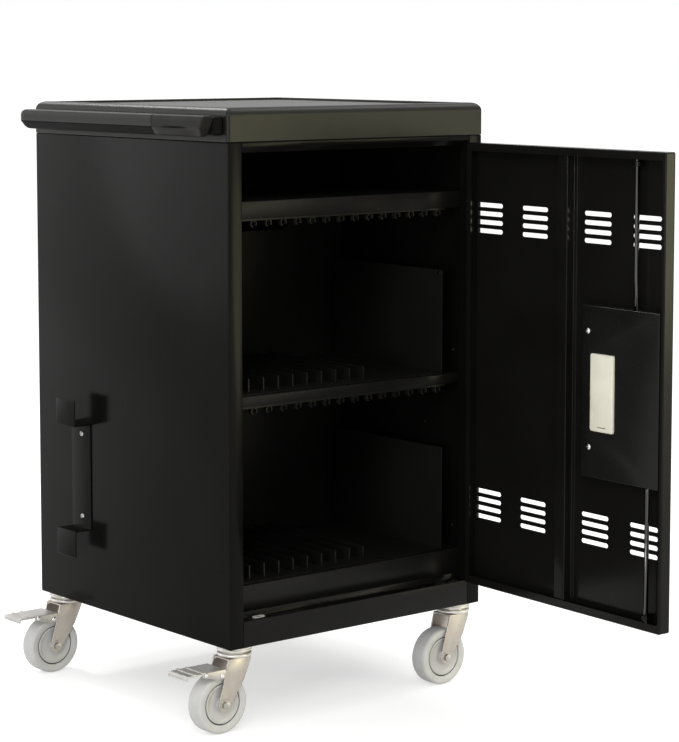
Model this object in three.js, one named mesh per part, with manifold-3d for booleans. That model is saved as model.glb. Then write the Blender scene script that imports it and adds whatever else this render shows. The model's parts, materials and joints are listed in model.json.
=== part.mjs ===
// Laptop charging cart: a lockable steel cabinet on swivel casters, with two laptop bays, a top compartment,
// a worktop tray and a push handle. Millimetres, +Z up; the front faces -Y and the handle side is -X.
// The front door stands open. The origin is the middle of the whole cart's footprint, on the floor.
import * as THREE from "three";
import { mergeVertices } from "three/addons/utils/BufferGeometryUtils.js";
import Module from "manifold-3d";

const wasm = await Module();
wasm.setup();

// Cabinet body
const BODY_WIDTH = 565;
const BODY_DEPTH = 585;
const BODY_HEIGHT = 850;
const SHEET = 1.5;
const SEAM = 0.3; // gap between neighbouring pieces
const STILE_WIDTH = 29;
const EDGE_RETURN = 25; // fold behind each stile, rail and header
const RAIL_HEIGHT = 45;
const HEADER_HEIGHT = 9;
const STOP_HEIGHT = 10; // upstand that stops the front door
const DOOR_GAP = 3; // round each door, away from its hinges

// Worktop tray
const TRAY_HEIGHT = 57;
const TRAY_OVERHANG = 1.5;
const TRAY_WALL = 4;
const TRAY_EDGE = 14; // rounded top edge
const RIM_WIDTH = 24;
const RIM_DEPTH = 4;
const RECESS_CORNER = 16;

// Push handle, on the left of the tray
const HANDLE_REACH = 44; // tray side to the outside of the bar
const HANDLE_DEPTH = 22;
const HANDLE_HEIGHT = 35;
const HANDLE_DROP = 13; // below the rim
const HANDLE_FACET = 5; // cut from its corners
const HANDLE_UNDERCUT = 15; // taller facet under its outer face
const HANDLE_UNDERCUT_DEPTH = 10;
const HANDLE_END_ROUND = 6;
const HANDLE_FRONT_INSET = 1; // bar ends from the front and back of the body
const HANDLE_BACK_INSET = 10;
const GRIP_LENGTH = 152;
const BRACKET_LENGTH = 44;
const BRACKET_HEIGHT = 26;
const BRACKET_INSET = 8;

// Cord hook, low on the left side
const HOOK_FROM_BACK = 142;
const HOOK_FROM_BASE = 140;
const HOOK_HEIGHT = 193;
const HOOK_WIDTH = 60;
const HOOK_REACH = 35;
const HOOK_LIP = 46;
const HOOK_SHEET = 2;

// Shelves and partition
const SHELF_SETBACK = 48; // shelf fronts behind the cabinet's front
const BAY_DEPTH = 345;
const DECK_LEVEL = 93; // shelf tops above the cabinet's bottom
const MIDDLE_LEVEL = 417;
const TOP_SPACE = 102; // top shelf below the cabinet's top
const TOP_LEVEL = BODY_HEIGHT - TOP_SPACE;
const MIDDLE_LIP = 18;
const TOP_LIP = 30;
const SHELF_FLANGE = 15;
const PORT_WIDTH = 300; // cable port in the partition, one for each bay
const PORT_HEIGHT = 24;
const PORT_LEVEL = 70; // below the shelf that closes the bay

// Device racks
const SLOT_PITCH = 32;
const RACK_SIDE_GAP = 12; // between the rack's slots and the stiles' inner edges
const RACK_FREE_SPACE = 155; // least width left open at the right of the ribs
const RACK_SETBACK = 10;
const RACK_REAR_GAP = 30;
const RACK_PLATE_HEIGHT = 188;
const RIB_HEIGHT = 24;
const RIB_THICKNESS = 3;
const RIB_SETBACK = 26;

// Cable clips under the shelves
const CLIP_RADIUS = 6.5;
const CLIP_WALL = 1.8;
const CLIP_DEPTH = 8;
const CLIP_MOUTH = 70; // degrees
const CLIP_STRIP_HEIGHT = 12;
const CLIP_STRIP_SHEET = 2;
const CLIP_STRIP_DROP = 3; // strip below the shelf lip

// Power strips, inlet and switch
const STRIP_LENGTH = 430;
const STRIP_HEIGHT = 46;
const STRIP_DEPTH = 40;
const STRIP_LEVEL = 150; // strip middles below the shelf that closes the bay
const SOCKET_COUNT = 8;
const SOCKET_PITCH = 50;
const SOCKET_SIZE = 34;
const SOCKET_RAISE = 2;
const INLET_FROM_LEFT = 110; // inlet middle from the left stile's inner edge
const INLET_WIDTH = 62;
const INLET_HEIGHT = 30;
const INLET_FLANGE = 4;
const INLET_FLANGE_THICKNESS = 2.5;
const INLET_BODY_DEPTH = 30;
const INLET_SOCKET_WIDTH = 24;
const INLET_SOCKET_HEIGHT = 18;
const INLET_SOCKET_DEPTH = 18;
const ROCKER_WIDTH = 20;
const ROCKER_HEIGHT = 14;
const ROCKER_DEPTH = 9;
const ROCKER_TILT = 8; // degrees
const ROCKER_CLEAR = 1;
const ROCKER_PIN_RADIUS = 1.6;

// Front door
const DOOR_OPEN = 87.5; // degrees, as it stands
const DOOR_THICKNESS = 22;
const DOOR_LIP = 14;
const DOOR_FREE_LIP = 6; // along its free edge
const HINGE_SIDE_GAP = 5;
const STIFFENER_WIDTH = 26;
const STIFFENER_DEPTH = 17;
const STIFFENER_FLANGE = 8;
const VENT_WIDTH = 66;
const VENT_HEIGHT = 8;
const VENT_PITCH = 15.3;
const VENT_SLOTS = 4;
const VENT_SHIFT = 9; // the groups' middle, from the door's middle towards its hinges
const VENT_INNER = 79; // group middles from there
const VENT_OUTER = 197;
const VENT_TOP_LEVEL = 133; // group middles from the door's top and bottom
const VENT_BOTTOM_LEVEL = 144;

// Front hinges
const HINGE_LENGTH = 60;
const HINGE_END = 58; // hinge middles from the door's top and bottom
const HINGE_AXIS_IN = 6; // axis behind the stile's inner edge
const HINGE_AXIS_OUT = 6.5; // axis in front of the cabinet
const KNUCKLE_RADIUS = 5;
const KNUCKLE_GAP = 0.5;
const MIDDLE_KNUCKLE = 22;
const HINGE_PIN_RADIUS = 2.5;
const PIN_CLEAR = 0.35;
const PIN_HEAD_RADIUS = 4.5;
const PIN_HEAD = 2;
const LEAF_THICKNESS = 1.6;
const FRAME_LEAF_REACH = 20;
const DOOR_LEAF_REACH = 32;

// Front lock
const LOCK_FROM_FREE_EDGE = 57;
const LOCK_LEVEL = 383; // above the door's bottom
const LOCK_ROSETTE_RADIUS = 15;
const LOCK_ROSETTE_THICKNESS = 3;
const LOCK_BARREL_RADIUS = 10;
const LOCK_BARREL_DEPTH = 8;
const LOCK_PLUG_RADIUS = 7;
const LOCK_PLUG_PROUD = 1.5;
const KEYWAY_WIDTH = 1.6;
const KEYWAY_LENGTH = 8;
const KEYWAY_DEPTH = 3;
const LAYER_GAP = 0.6; // between the crank and the rod straps
const CRANK_THICKNESS = 2.5;
const CRANK_WIDTH = 13;
const CRANK_RADIUS = 9; // also the travel of the rods
const CRANK_PIN_RADIUS = 2.5;
const STRAP_THICKNESS = 2;
const STRAP_WALL = 1.6;
const STRAP_LENGTH = 34;
const STRAP_CLEAR = 0.4;
const ROD_RADIUS = 4;
const ROD_OFFSET = 17; // each rod from the lock's axis
const ROD_CLEAR = 0.8;
const ROD_END_INSET = 1; // rod ends inside the door's edges
const COVER_FREE_SIDE = 47; // lock cover's sides from the lock's axis
const COVER_HINGE_SIDE = 136;
const COVER_HALF_HEIGHT = 145;
const CUP_FROM_LOCK = 85;
const CUP_WIDTH = 55;
const CUP_HEIGHT = 131;
const CUP_DEPTH = 26;
const CUP_WALL = 2;
const CUP_FLANGE = 9;
const CUP_FLANGE_THICKNESS = 2;
const CUP_CLEAR = 1;

// Rear door
const REAR_DOOR_THICKNESS = 16;
const REAR_PIVOT_INSET = 8; // pivot from the door's hinge edge and outer face
const REAR_HINGE_GAP = 5;
const REAR_PIN_RADIUS = 4;
const REAR_PIN_CLEAR = 0.6;
const REAR_VENT_WIDTH = 120;
const REAR_VENT_SLOTS = 5;
const REAR_VENT_LEVEL = 110;
const REAR_LOCK_FROM_EDGE = 32;
const REAR_LOCK_LENGTH = 27;
const REAR_LOCK_RADIUS = 8;
const REAR_LOCK_HEAD_RADIUS = 11;
const REAR_LOCK_HEAD = 3;
const REAR_CAM_LENGTH = 52;
const REAR_CAM_WIDTH = 16;
const REAR_CAM_THICKNESS = 2.5;

// Casters
const CASTER_HEIGHT = 145;
const CASTER_INSET = 33; // swivel axes from the cabinet's sides
const CASTER_PLATE_RADIUS = 31;
const CASTER_PLATE_THICKNESS = 3;
const RACE_RADIUS = 30;
const RACE_HEIGHT = 14;
const RACE_GROOVE = 3;
const RACE_GROOVE_DEPTH = 3;
const RACE_LOWER_HEIGHT = 6; // below the groove
const RACE_GAP = 0.6;
const KING_PIN_RADIUS = 5;
const KING_PIN_HEAD_RADIUS = 9;
const KING_PIN_HEAD = 4;
const FORK_SHEET = 3;
const FORK_FRONT = 26;
const FORK_REAR = 28;
const FORK_SHOULDER = 8;
const FORK_END_RADIUS = 13;
const CASTER_TRAIL = 36;
const WHEEL_RADIUS = 51;
const WHEEL_WIDTH = 34;
const WHEEL_SIDE_GAP = 2.5; // wheel to fork
const TYRE_EDGE = 3;
const HUB_RADIUS = 34.5;
const HUB_WIDTH = 31;
const HUB_RIM = 5;
const HUB_DISH = 6;
const HUB_BOSS_RADIUS = 11;
const AXLE_RADIUS = 4;
const AXLE_CLEAR = 0.4;
const AXLE_HEAD_RADIUS = 7;
const AXLE_HEAD = 5;
const PEDAL_PIVOT_BACK = 44; // pedal pivot behind the swivel axis
const PEDAL_PIVOT_LEVEL = 103;
const PEDAL_REACH = 71.5; // pivot to pedal tip
const PEDAL_HEEL = 7; // pivot to its inner end
const PEDAL_SHEET = 3;
const PEDAL_LIP = 5; // turned down at the tip
const PEDAL_RIB = 1.5; // height of its cross ribs
const PEDAL_RIB_WIDTH = 5;
const PEDAL_FIRST_RIB = 36; // from the pivot
const PEDAL_RIB_PITCH = 18;
const PEDAL_CHEEK = 40; // length of its cheeks from the pivot
const PEDAL_CHEEK_END = 8; // their depth at the outer end
const PEDAL_PIN_RADIUS = 3;
const PEDAL_PIN_CLEAR = 0.5;
const PEDAL_SIDE_GAP = 0.8; // cheeks to the fork
const PEDAL_EAR_GAP = 1.5; // ears to the tread above them
const EAR_RADIUS = 6;

// Facets of round pieces
const ROUND_SIDES = 12;
const WHEEL_SIDES = 24;

// Levels and planes worked out from the sizes
const HALF_WIDTH = BODY_WIDTH / 2;
const FRONT = -BODY_DEPTH / 2;
const BACK = BODY_DEPTH / 2;
const BASE = CASTER_HEIGHT;
const TOP = BASE + BODY_HEIGHT;
const STILE_EDGE = HALF_WIDTH - STILE_WIDTH;
const PAN_HALF = HALF_WIDTH - SHEET - SEAM;
const RAIL_HALF = STILE_EDGE - SEAM;
const SHELF_FRONT = FRONT + SHELF_SETBACK;
const PARTITION = SHELF_FRONT + BAY_DEPTH;

// Shapes

function box(x0, x1, y0, y1, z0, z1) {
  const made = new THREE.BoxGeometry(x1 - x0, y1 - y0, z1 - z0);
  return made.translate((x0 + x1) / 2, (y0 + y1) / 2, (z0 + z1) / 2);
}

function rodAlongZ(radius, x, y, z0, z1, sides = ROUND_SIDES) {
  const made = new THREE.CylinderGeometry(radius, radius, z1 - z0, sides);
  return made.rotateX(Math.PI / 2).translate(x, y, (z0 + z1) / 2);
}

function rodAlongY(radius, x, z, y0, y1, sides = ROUND_SIDES) {
  const made = new THREE.CylinderGeometry(radius, radius, y1 - y0, sides);
  return made.translate(x, (y0 + y1) / 2, z);
}

function outline(points) {
  return new THREE.Shape(points.map(([x, y]) => new THREE.Vector2(x, y)));
}

// A shape in X and Y, raised from z0 to z1.
function raise(shape, z0, z1, options = {}) {
  const made = new THREE.ExtrudeGeometry(shape, { depth: z1 - z0, bevelEnabled: false, ...options });
  return made.translate(0, 0, z0);
}

// A shape in X and Z, drawn out from y0 to y1.
function drawOut(shape, y0, y1, options = {}) {
  const made = raise(shape, 0, y1 - y0, options);
  return made.rotateX(Math.PI / 2).translate(0, y1, 0);
}

function roundedRectangle(halfX, halfY, radius) {
  const shape = new THREE.Shape();
  shape.moveTo(halfX, radius - halfY);
  shape.lineTo(halfX, halfY - radius);
  shape.absarc(halfX - radius, halfY - radius, radius, 0, Math.PI / 2);
  shape.absarc(radius - halfX, halfY - radius, radius, Math.PI / 2, Math.PI);
  shape.absarc(radius - halfX, radius - halfY, radius, Math.PI, 1.5 * Math.PI);
  shape.absarc(halfX - radius, radius - halfY, radius, 1.5 * Math.PI, 2 * Math.PI);
  return shape;
}

// A slot with round ends, its middle at (x, z), cut through from y0 to y1.
function slot(x, z, width, height, y0, y1) {
  const shape = roundedRectangle(width / 2, height / 2, height / 2 - 0.01);
  return drawOut(shape, y0, y1, { curveSegments: 1 }).translate(x, 0, z);
}

function lathe(points, sides = WHEEL_SIDES) {
  return new THREE.LatheGeometry(
    [...points, points[0]].map(([radius, along]) => new THREE.Vector2(radius, along)),
    sides,
  );
}

// Joins and cuts

function solid(geometry) {
  const bare = geometry.index ? geometry.toNonIndexed() : geometry.clone();
  bare.deleteAttribute("normal");
  bare.deleteAttribute("uv");
  const merged = mergeVertices(bare, 1e-4);
  return new wasm.Manifold(
    new wasm.Mesh({
      numProp: 3,
      vertProperties: merged.attributes.position.array,
      triVerts: new Uint32Array(merged.index.array),
    }),
  );
}

function geometryOf(made) {
  const { vertProperties, triVerts } = made.getMesh();
  const geometry = new THREE.BufferGeometry();
  geometry.setAttribute("position", new THREE.BufferAttribute(vertProperties, 3));
  geometry.setIndex(new THREE.BufferAttribute(triVerts, 1));
  geometry.computeVertexNormals();
  return geometry;
}

function join(...pieces) {
  return geometryOf(pieces.map(solid).reduce((whole, piece) => whole.add(piece)));
}

function cut(base, ...tools) {
  return geometryOf(tools.map(solid).reduce((whole, tool) => whole.subtract(tool), solid(base)));
}

function common(...pieces) {
  return geometryOf(pieces.map(solid).reduce((whole, piece) => whole.intersect(piece)));
}

// Finishes

const finish = (color, roughness, metalness) => () =>
  new THREE.MeshStandardMaterial({ color, roughness, metalness });
const blackPaint = finish(0x1a1a19, 0.32, 0.2);
const blackPlastic = finish(0x171716, 0.45, 0);
const creamPlastic = finish(0xd9d2bd, 0.5, 0);
const greyTyre = finish(0x8d8f91, 0.7, 0);
const greyHub = finish(0xb4b6b8, 0.5, 0);
const zincSteel = finish(0xbdb9ae, 0.35, 0.9);
const steel = finish(0xb9babb, 0.3, 1);

const cart = new THREE.Group();

function add(parent, name, geometry, material) {
  const mesh = new THREE.Mesh(geometry, material());
  mesh.name = name;
  parent.add(mesh);
}

// A body that turns about a point, whose pieces are still placed in the cabinet's own coordinates.
function turning(parent, name, x, y, z, turn = 0) {
  const axis = new THREE.Group();
  axis.name = name;
  axis.position.set(x, y, z);
  axis.rotation.z = turn;
  const body = new THREE.Group();
  body.position.set(-x, -y, -z);
  axis.add(body);
  parent.add(axis);
  return body;
}

// Front lock and door places, used by the frame's strike holes and by the door
const DOOR_LEFT = -STILE_EDGE + DOOR_GAP;
const DOOR_RIGHT = STILE_EDGE - HINGE_SIDE_GAP;
const DOOR_MIDDLE = (DOOR_LEFT + DOOR_RIGHT) / 2;
const DOOR_BOTTOM = BASE + RAIL_HEIGHT + DOOR_GAP;
const DOOR_TOP = TOP - HEADER_HEIGHT - DOOR_GAP;
const DOOR_BACK = FRONT + DOOR_THICKNESS;
const LOCK_X = DOOR_LEFT + LOCK_FROM_FREE_EDGE;
const LOCK_Z = DOOR_BOTTOM + LOCK_LEVEL;
const CRANK_FRONT = FRONT + LOCK_BARREL_DEPTH + LAYER_GAP;
const UPPER_STRAP_FRONT = CRANK_FRONT + CRANK_THICKNESS + LAYER_GAP;
const LOWER_STRAP_FRONT = UPPER_STRAP_FRONT + STRAP_THICKNESS + LAYER_GAP;
const UPPER_ROD_Y = UPPER_STRAP_FRONT + STRAP_THICKNESS / 2;
const LOWER_ROD_Y = LOWER_STRAP_FRONT + STRAP_THICKNESS / 2;
const UPPER_ROD_X = LOCK_X + ROD_OFFSET;
const LOWER_ROD_X = LOCK_X - ROD_OFFSET;
const ROD_HOLE = ROD_RADIUS + ROD_CLEAR;

// Rear door places, used by the frame's pivot holes and by the door
const REAR_LEFT = -STILE_EDGE + REAR_HINGE_GAP;
const REAR_RIGHT = STILE_EDGE - DOOR_GAP;
const REAR_PIVOT_X = REAR_LEFT + REAR_PIVOT_INSET;
const REAR_PIVOT_Y = BACK - REAR_PIVOT_INSET;
const REAR_FACE = BACK - REAR_DOOR_THICKNESS;
const REAR_PIN_HOLE = REAR_PIN_RADIUS + REAR_PIN_CLEAR;

const INLET_X = -STILE_EDGE + INLET_FROM_LEFT;
const INLET_Z = BASE + RAIL_HEIGHT / 2;

// Cabinet

// Folded side: wall, front stile, rear stile and their returns. Side is 1 on the right and -1 on the left.
function sidePanel(side) {
  const wall = HALF_WIDTH - SHEET;
  const fold = STILE_EDGE + SHEET;
  const points = [
    [STILE_EDGE, FRONT],
    [HALF_WIDTH, FRONT],
    [HALF_WIDTH, BACK],
    [STILE_EDGE, BACK],
    [STILE_EDGE, BACK - EDGE_RETURN],
    [fold, BACK - EDGE_RETURN],
    [fold, BACK - SHEET],
    [wall, BACK - SHEET],
    [wall, FRONT + SHEET],
    [fold, FRONT + SHEET],
    [fold, FRONT + EDGE_RETURN],
    [STILE_EDGE, FRONT + EDGE_RETURN],
  ];
  return raise(outline(points.map(([x, y]) => [side * x, y])), BASE, TOP);
}

// Sheet that fills the cabinet's plan between the side walls, round the stiles.
function planSheet(z0, z1) {
  const inner = EDGE_RETURN + SEAM;
  return join(
    box(-PAN_HALF, PAN_HALF, FRONT + inner, BACK - inner, z0, z1),
    box(-RAIL_HALF, RAIL_HALF, FRONT, BACK, z0, z1),
  );
}

function bottomPan() {
  const railTop = BASE + RAIL_HEIGHT;
  const stop = FRONT + EDGE_RETURN;
  const pan = join(
    planSheet(BASE, BASE + SHEET),
    box(-RAIL_HALF, RAIL_HALF, FRONT, FRONT + SHEET, BASE, railTop),
    box(-RAIL_HALF, RAIL_HALF, FRONT, stop, railTop - SHEET, railTop),
    box(-RAIL_HALF, RAIL_HALF, stop - SHEET, stop, railTop - SHEET, railTop + STOP_HEIGHT),
    box(-RAIL_HALF, RAIL_HALF, BACK - SHEET, BACK, BASE, railTop),
    box(-RAIL_HALF, RAIL_HALF, BACK - EDGE_RETURN, BACK, railTop - SHEET, railTop),
  );
  const halfInlet = INLET_WIDTH / 2 + SEAM;
  const halfInletHeight = INLET_HEIGHT / 2 + SEAM;
  return cut(
    pan,
    rodAlongZ(ROD_HOLE, LOWER_ROD_X, LOWER_ROD_Y, railTop - 2 * SHEET, railTop + SHEET),
    rodAlongZ(REAR_PIN_HOLE, REAR_PIVOT_X, REAR_PIVOT_Y, railTop - 2 * SHEET, railTop + SHEET),
    box(
      INLET_X - halfInlet,
      INLET_X + halfInlet,
      BACK - 2 * SHEET,
      BACK + SHEET,
      INLET_Z - halfInletHeight,
      INLET_Z + halfInletHeight,
    ),
  );
}

function roofPanel() {
  const header = TOP - HEADER_HEIGHT;
  const stop = FRONT + EDGE_RETURN;
  const roof = join(
    planSheet(TOP - SHEET, TOP),
    box(-RAIL_HALF, RAIL_HALF, FRONT, FRONT + SHEET, header, TOP),
    box(-RAIL_HALF, RAIL_HALF, FRONT, stop, header, header + SHEET),
    box(-RAIL_HALF, RAIL_HALF, stop - SHEET, stop, header - STOP_HEIGHT, header + SHEET),
    box(-RAIL_HALF, RAIL_HALF, BACK - SHEET, BACK, header, TOP),
    box(-RAIL_HALF, RAIL_HALF, BACK - EDGE_RETURN, BACK, header, header + SHEET),
  );
  return cut(
    roof,
    rodAlongZ(ROD_HOLE, UPPER_ROD_X, UPPER_ROD_Y, header - SHEET, header + 2 * SHEET),
    rodAlongZ(REAR_PIN_HOLE, REAR_PIVOT_X, REAR_PIVOT_Y, header - SHEET, header + 2 * SHEET),
  );
}

add(cart, "left_side_panel", sidePanel(-1), blackPaint);
add(cart, "right_side_panel", sidePanel(1), blackPaint);
add(cart, "bottom_pan", bottomPan(), blackPaint);
add(cart, "roof_panel", roofPanel(), blackPaint);

// Worktop tray and handle

const TRAY_BOTTOM = TOP + SEAM;
const TRAY_TOP = TRAY_BOTTOM + TRAY_HEIGHT;
const TRAY_HALF_X = HALF_WIDTH + TRAY_OVERHANG;
const TRAY_HALF_Y = BODY_DEPTH / 2 + TRAY_OVERHANG;

// Tray's section across one of its sides: square at the foot, with its top edges rounded over.
function traySection(half) {
  const middle = TRAY_TOP - TRAY_EDGE;
  const shape = new THREE.Shape();
  shape.moveTo(-half, TRAY_BOTTOM);
  shape.lineTo(half, TRAY_BOTTOM);
  shape.absarc(half - TRAY_EDGE, middle, TRAY_EDGE, 0, Math.PI / 2);
  shape.absarc(TRAY_EDGE - half, middle, TRAY_EDGE, Math.PI / 2, Math.PI);
  return shape;
}

// Raised rim all round, floor just below it, and open underneath behind the apron.
function worktopTray() {
  const across = (half, reach) =>
    drawOut(traySection(half), -2 * reach, 2 * reach, { curveSegments: 4 });
  const shell = common(
    across(TRAY_HALF_X, TRAY_HALF_Y),
    across(TRAY_HALF_Y, TRAY_HALF_X).rotateZ(Math.PI / 2),
  );
  const floor = TRAY_TOP - RIM_DEPTH;
  const recess = raise(
    roundedRectangle(TRAY_HALF_X - RIM_WIDTH, TRAY_HALF_Y - RIM_WIDTH, RECESS_CORNER),
    floor,
    TRAY_TOP + RIM_DEPTH,
    { curveSegments: 5 },
  );
  const hollow = box(
    TRAY_WALL - TRAY_HALF_X,
    TRAY_HALF_X - TRAY_WALL,
    TRAY_WALL - TRAY_HALF_Y,
    TRAY_HALF_Y - TRAY_WALL,
    TRAY_BOTTOM - TRAY_WALL,
    floor - TRAY_WALL,
  );
  return cut(shell, recess, hollow);
}

// Handle section in X and Z, with its corners cut to facets, the tallest under its outer face.
function handleSection(x0, x1, z0, z1) {
  const f = HANDLE_FACET;
  return outline([
    [x0, z0 + HANDLE_UNDERCUT],
    [x0 + HANDLE_UNDERCUT_DEPTH, z0],
    [x1 - f, z0],
    [x1, z0 + f],
    [x1, z1 - f],
    [x1 - f, z1],
    [x0 + f, z1],
    [x0, z1 - f],
  ]);
}

const HANDLE_OUT = -TRAY_HALF_X - HANDLE_REACH;
const HANDLE_IN = HANDLE_OUT + HANDLE_DEPTH;
const HANDLE_TOP = TRAY_TOP - HANDLE_DROP;
const HANDLE_BOTTOM = HANDLE_TOP - HANDLE_HEIGHT;
const HANDLE_LEVEL = (HANDLE_TOP + HANDLE_BOTTOM) / 2;
const HANDLE_FRONT = FRONT + HANDLE_FRONT_INSET;
const HANDLE_BACK = BACK - HANDLE_BACK_INSET;
const GRIP_BACK = HANDLE_FRONT + GRIP_LENGTH;

// Length of handle with both ends rounded over.
function handleLength(y0, y1) {
  const end = HANDLE_END_ROUND;
  return drawOut(
    handleSection(HANDLE_OUT, HANDLE_IN, HANDLE_BOTTOM, HANDLE_TOP),
    y0 + end,
    y1 - end,
    {
      bevelEnabled: true,
      bevelThickness: end,
      bevelSize: end,
      bevelOffset: -end,
      bevelSegments: 3,
    },
  );
}

// One end rounded over, the other cut square at y.
function squareEnd(piece, y, away) {
  const reach = 2 * HANDLE_END_ROUND;
  const y0 = away > 0 ? y : y - reach;
  const cutter = box(
    HANDLE_OUT - reach,
    HANDLE_IN + reach,
    y0,
    y0 + reach,
    HANDLE_BOTTOM - reach,
    HANDLE_TOP + reach,
  );
  return cut(piece, cutter);
}

function handleBracket(y0) {
  return box(
    HANDLE_IN + SEAM,
    -TRAY_HALF_X - SEAM,
    y0,
    y0 + BRACKET_LENGTH,
    HANDLE_LEVEL - BRACKET_HEIGHT / 2,
    HANDLE_LEVEL + BRACKET_HEIGHT / 2,
  );
}

const overlap = 1.5 * HANDLE_END_ROUND;
const handleBar = squareEnd(handleLength(GRIP_BACK - overlap, HANDLE_BACK), GRIP_BACK + SEAM, -1);
const handleGrip = squareEnd(handleLength(HANDLE_FRONT, GRIP_BACK + overlap), GRIP_BACK, 1);
add(cart, "worktop_tray", worktopTray(), blackPlastic);
add(cart, "handle_bar", handleBar, blackPlastic);
add(cart, "handle_grip", handleGrip, blackPlastic);
add(cart, "handle_bracket_front", handleBracket(HANDLE_FRONT + BRACKET_INSET), blackPlastic);
add(
  cart,
  "handle_bracket_rear",
  handleBracket(HANDLE_BACK - BRACKET_INSET - BRACKET_LENGTH),
  blackPlastic,
);

// Cord hook: one strip, bent out and up at the top, out and down at the bottom.
function cordHook() {
  const wall = -HALF_WIDTH - SEAM;
  const inner = wall - HOOK_REACH + HOOK_SHEET;
  const low = BASE + HOOK_FROM_BASE;
  const high = low + HOOK_HEIGHT;
  const strip = outline([
    [wall, low],
    [wall, high],
    [inner, high],
    [inner, high + HOOK_LIP],
    [inner - HOOK_SHEET, high + HOOK_LIP],
    [inner - HOOK_SHEET, high - HOOK_SHEET],
    [wall - HOOK_SHEET, high - HOOK_SHEET],
    [wall - HOOK_SHEET, low + HOOK_SHEET],
    [inner - HOOK_SHEET, low + HOOK_SHEET],
    [inner - HOOK_SHEET, low - HOOK_LIP],
    [inner, low - HOOK_LIP],
    [inner, low],
  ]);
  const middle = BACK - HOOK_FROM_BACK;
  return drawOut(strip, middle - HOOK_WIDTH / 2, middle + HOOK_WIDTH / 2);
}
add(cart, "cord_hook", cordHook(), blackPaint);

// Shelves and partition

// Shelf with its top at a level, a lip at the front and a flange along each side.
function shelf(level, lip) {
  const top = BASE + level;
  const rear = PARTITION - SEAM;
  const flange = Math.min(lip, SHELF_FLANGE);
  return join(
    box(-PAN_HALF, PAN_HALF, SHELF_FRONT, rear, top - SHEET, top),
    box(-PAN_HALF, PAN_HALF, SHELF_FRONT, SHELF_FRONT + SHEET, top - lip, top),
    box(-PAN_HALF, SHEET - PAN_HALF, SHELF_FRONT, rear, top - flange, top),
    box(PAN_HALF - SHEET, PAN_HALF, SHELF_FRONT, rear, top - flange, top),
  );
}

function rearPartition() {
  const ports = [MIDDLE_LEVEL, TOP_LEVEL].map((level) =>
    slot(
      0,
      BASE + level - SHEET - PORT_LEVEL,
      PORT_WIDTH,
      PORT_HEIGHT,
      PARTITION - SHEET,
      PARTITION + 2 * SHEET,
    ),
  );
  const low = BASE + SHEET + SEAM;
  const high = TOP - SHEET - SEAM;
  return cut(box(-PAN_HALF, PAN_HALF, PARTITION, PARTITION + SHEET, low, high), ...ports);
}

add(cart, "lower_deck", shelf(DECK_LEVEL, DECK_LEVEL - SHEET - SEAM), blackPaint);
add(cart, "middle_shelf", shelf(MIDDLE_LEVEL, MIDDLE_LIP), blackPaint);
add(cart, "top_shelf", shelf(TOP_LEVEL, TOP_LIP), blackPaint);
add(cart, "rear_partition", rearPartition(), blackPaint);

// Device racks and cable clips

const RACK_HALF = STILE_EDGE - RACK_SIDE_GAP;
const RIB_COUNT = Math.floor((2 * RACK_HALF - RACK_FREE_SPACE) / SLOT_PITCH);
const CLIP_COUNT = Math.floor((2 * RACK_HALF) / SLOT_PITCH);

// Base sheet with low ribs between the slots, open space at the right and an upright plate at each end.
function deviceRack(level) {
  const floor = BASE + level + SEAM;
  const front = SHELF_FRONT + RACK_SETBACK;
  const rear = PARTITION - RACK_REAR_GAP;
  const ribs = Array.from({ length: RIB_COUNT }, (_, i) => {
    const x = (i + 1) * SLOT_PITCH - RACK_HALF;
    const half = RIB_THICKNESS / 2;
    return box(x - half, x + half, front + RIB_SETBACK, rear, floor, floor + RIB_HEIGHT);
  });
  const high = floor + RACK_PLATE_HEIGHT;
  return join(
    box(-RACK_HALF, RACK_HALF, front, rear, floor, floor + SHEET),
    box(-RACK_HALF - SHEET, -RACK_HALF, front, rear, floor, high),
    box(RACK_HALF, RACK_HALF + SHEET, front, rear, floor, high),
    ...ribs,
  );
}

// Open ring in X and Z below a strip, with its mouth towards the lower right.
function clipRing(x, z) {
  const shape = new THREE.Shape();
  const mouth = THREE.MathUtils.degToRad(CLIP_MOUTH);
  const start = -mouth / 2;
  const end = 2 * Math.PI - 1.5 * mouth;
  shape.absarc(x, z, CLIP_RADIUS, start, end);
  shape.absarc(x, z, CLIP_RADIUS - CLIP_WALL, end, start, true);
  return shape;
}

function clipRail(level, lip) {
  const bottom = BASE + level - lip - CLIP_STRIP_DROP;
  const back = SHELF_FRONT + SHEET + SEAM;
  const strip = box(
    -RACK_HALF,
    RACK_HALF,
    back,
    back + CLIP_STRIP_SHEET,
    bottom,
    bottom + CLIP_STRIP_HEIGHT,
  );
  const rings = Array.from({ length: CLIP_COUNT }, (_, i) => {
    const x = (i - (CLIP_COUNT - 1) / 2) * SLOT_PITCH;
    const ring = clipRing(x, bottom - CLIP_RADIUS + CLIP_WALL / 2);
    return drawOut(ring, back, back + CLIP_DEPTH, { curveSegments: 3 });
  });
  return join(strip, ...rings);
}

add(cart, "lower_device_rack", deviceRack(DECK_LEVEL), blackPaint);
add(cart, "upper_device_rack", deviceRack(MIDDLE_LEVEL), blackPaint);
add(cart, "lower_clip_rail", clipRail(MIDDLE_LEVEL, MIDDLE_LIP), blackPlastic);
add(cart, "upper_clip_rail", clipRail(TOP_LEVEL, TOP_LIP), blackPlastic);

// Power strips behind the partition, and the inlet with its switch in the rear rail

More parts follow.
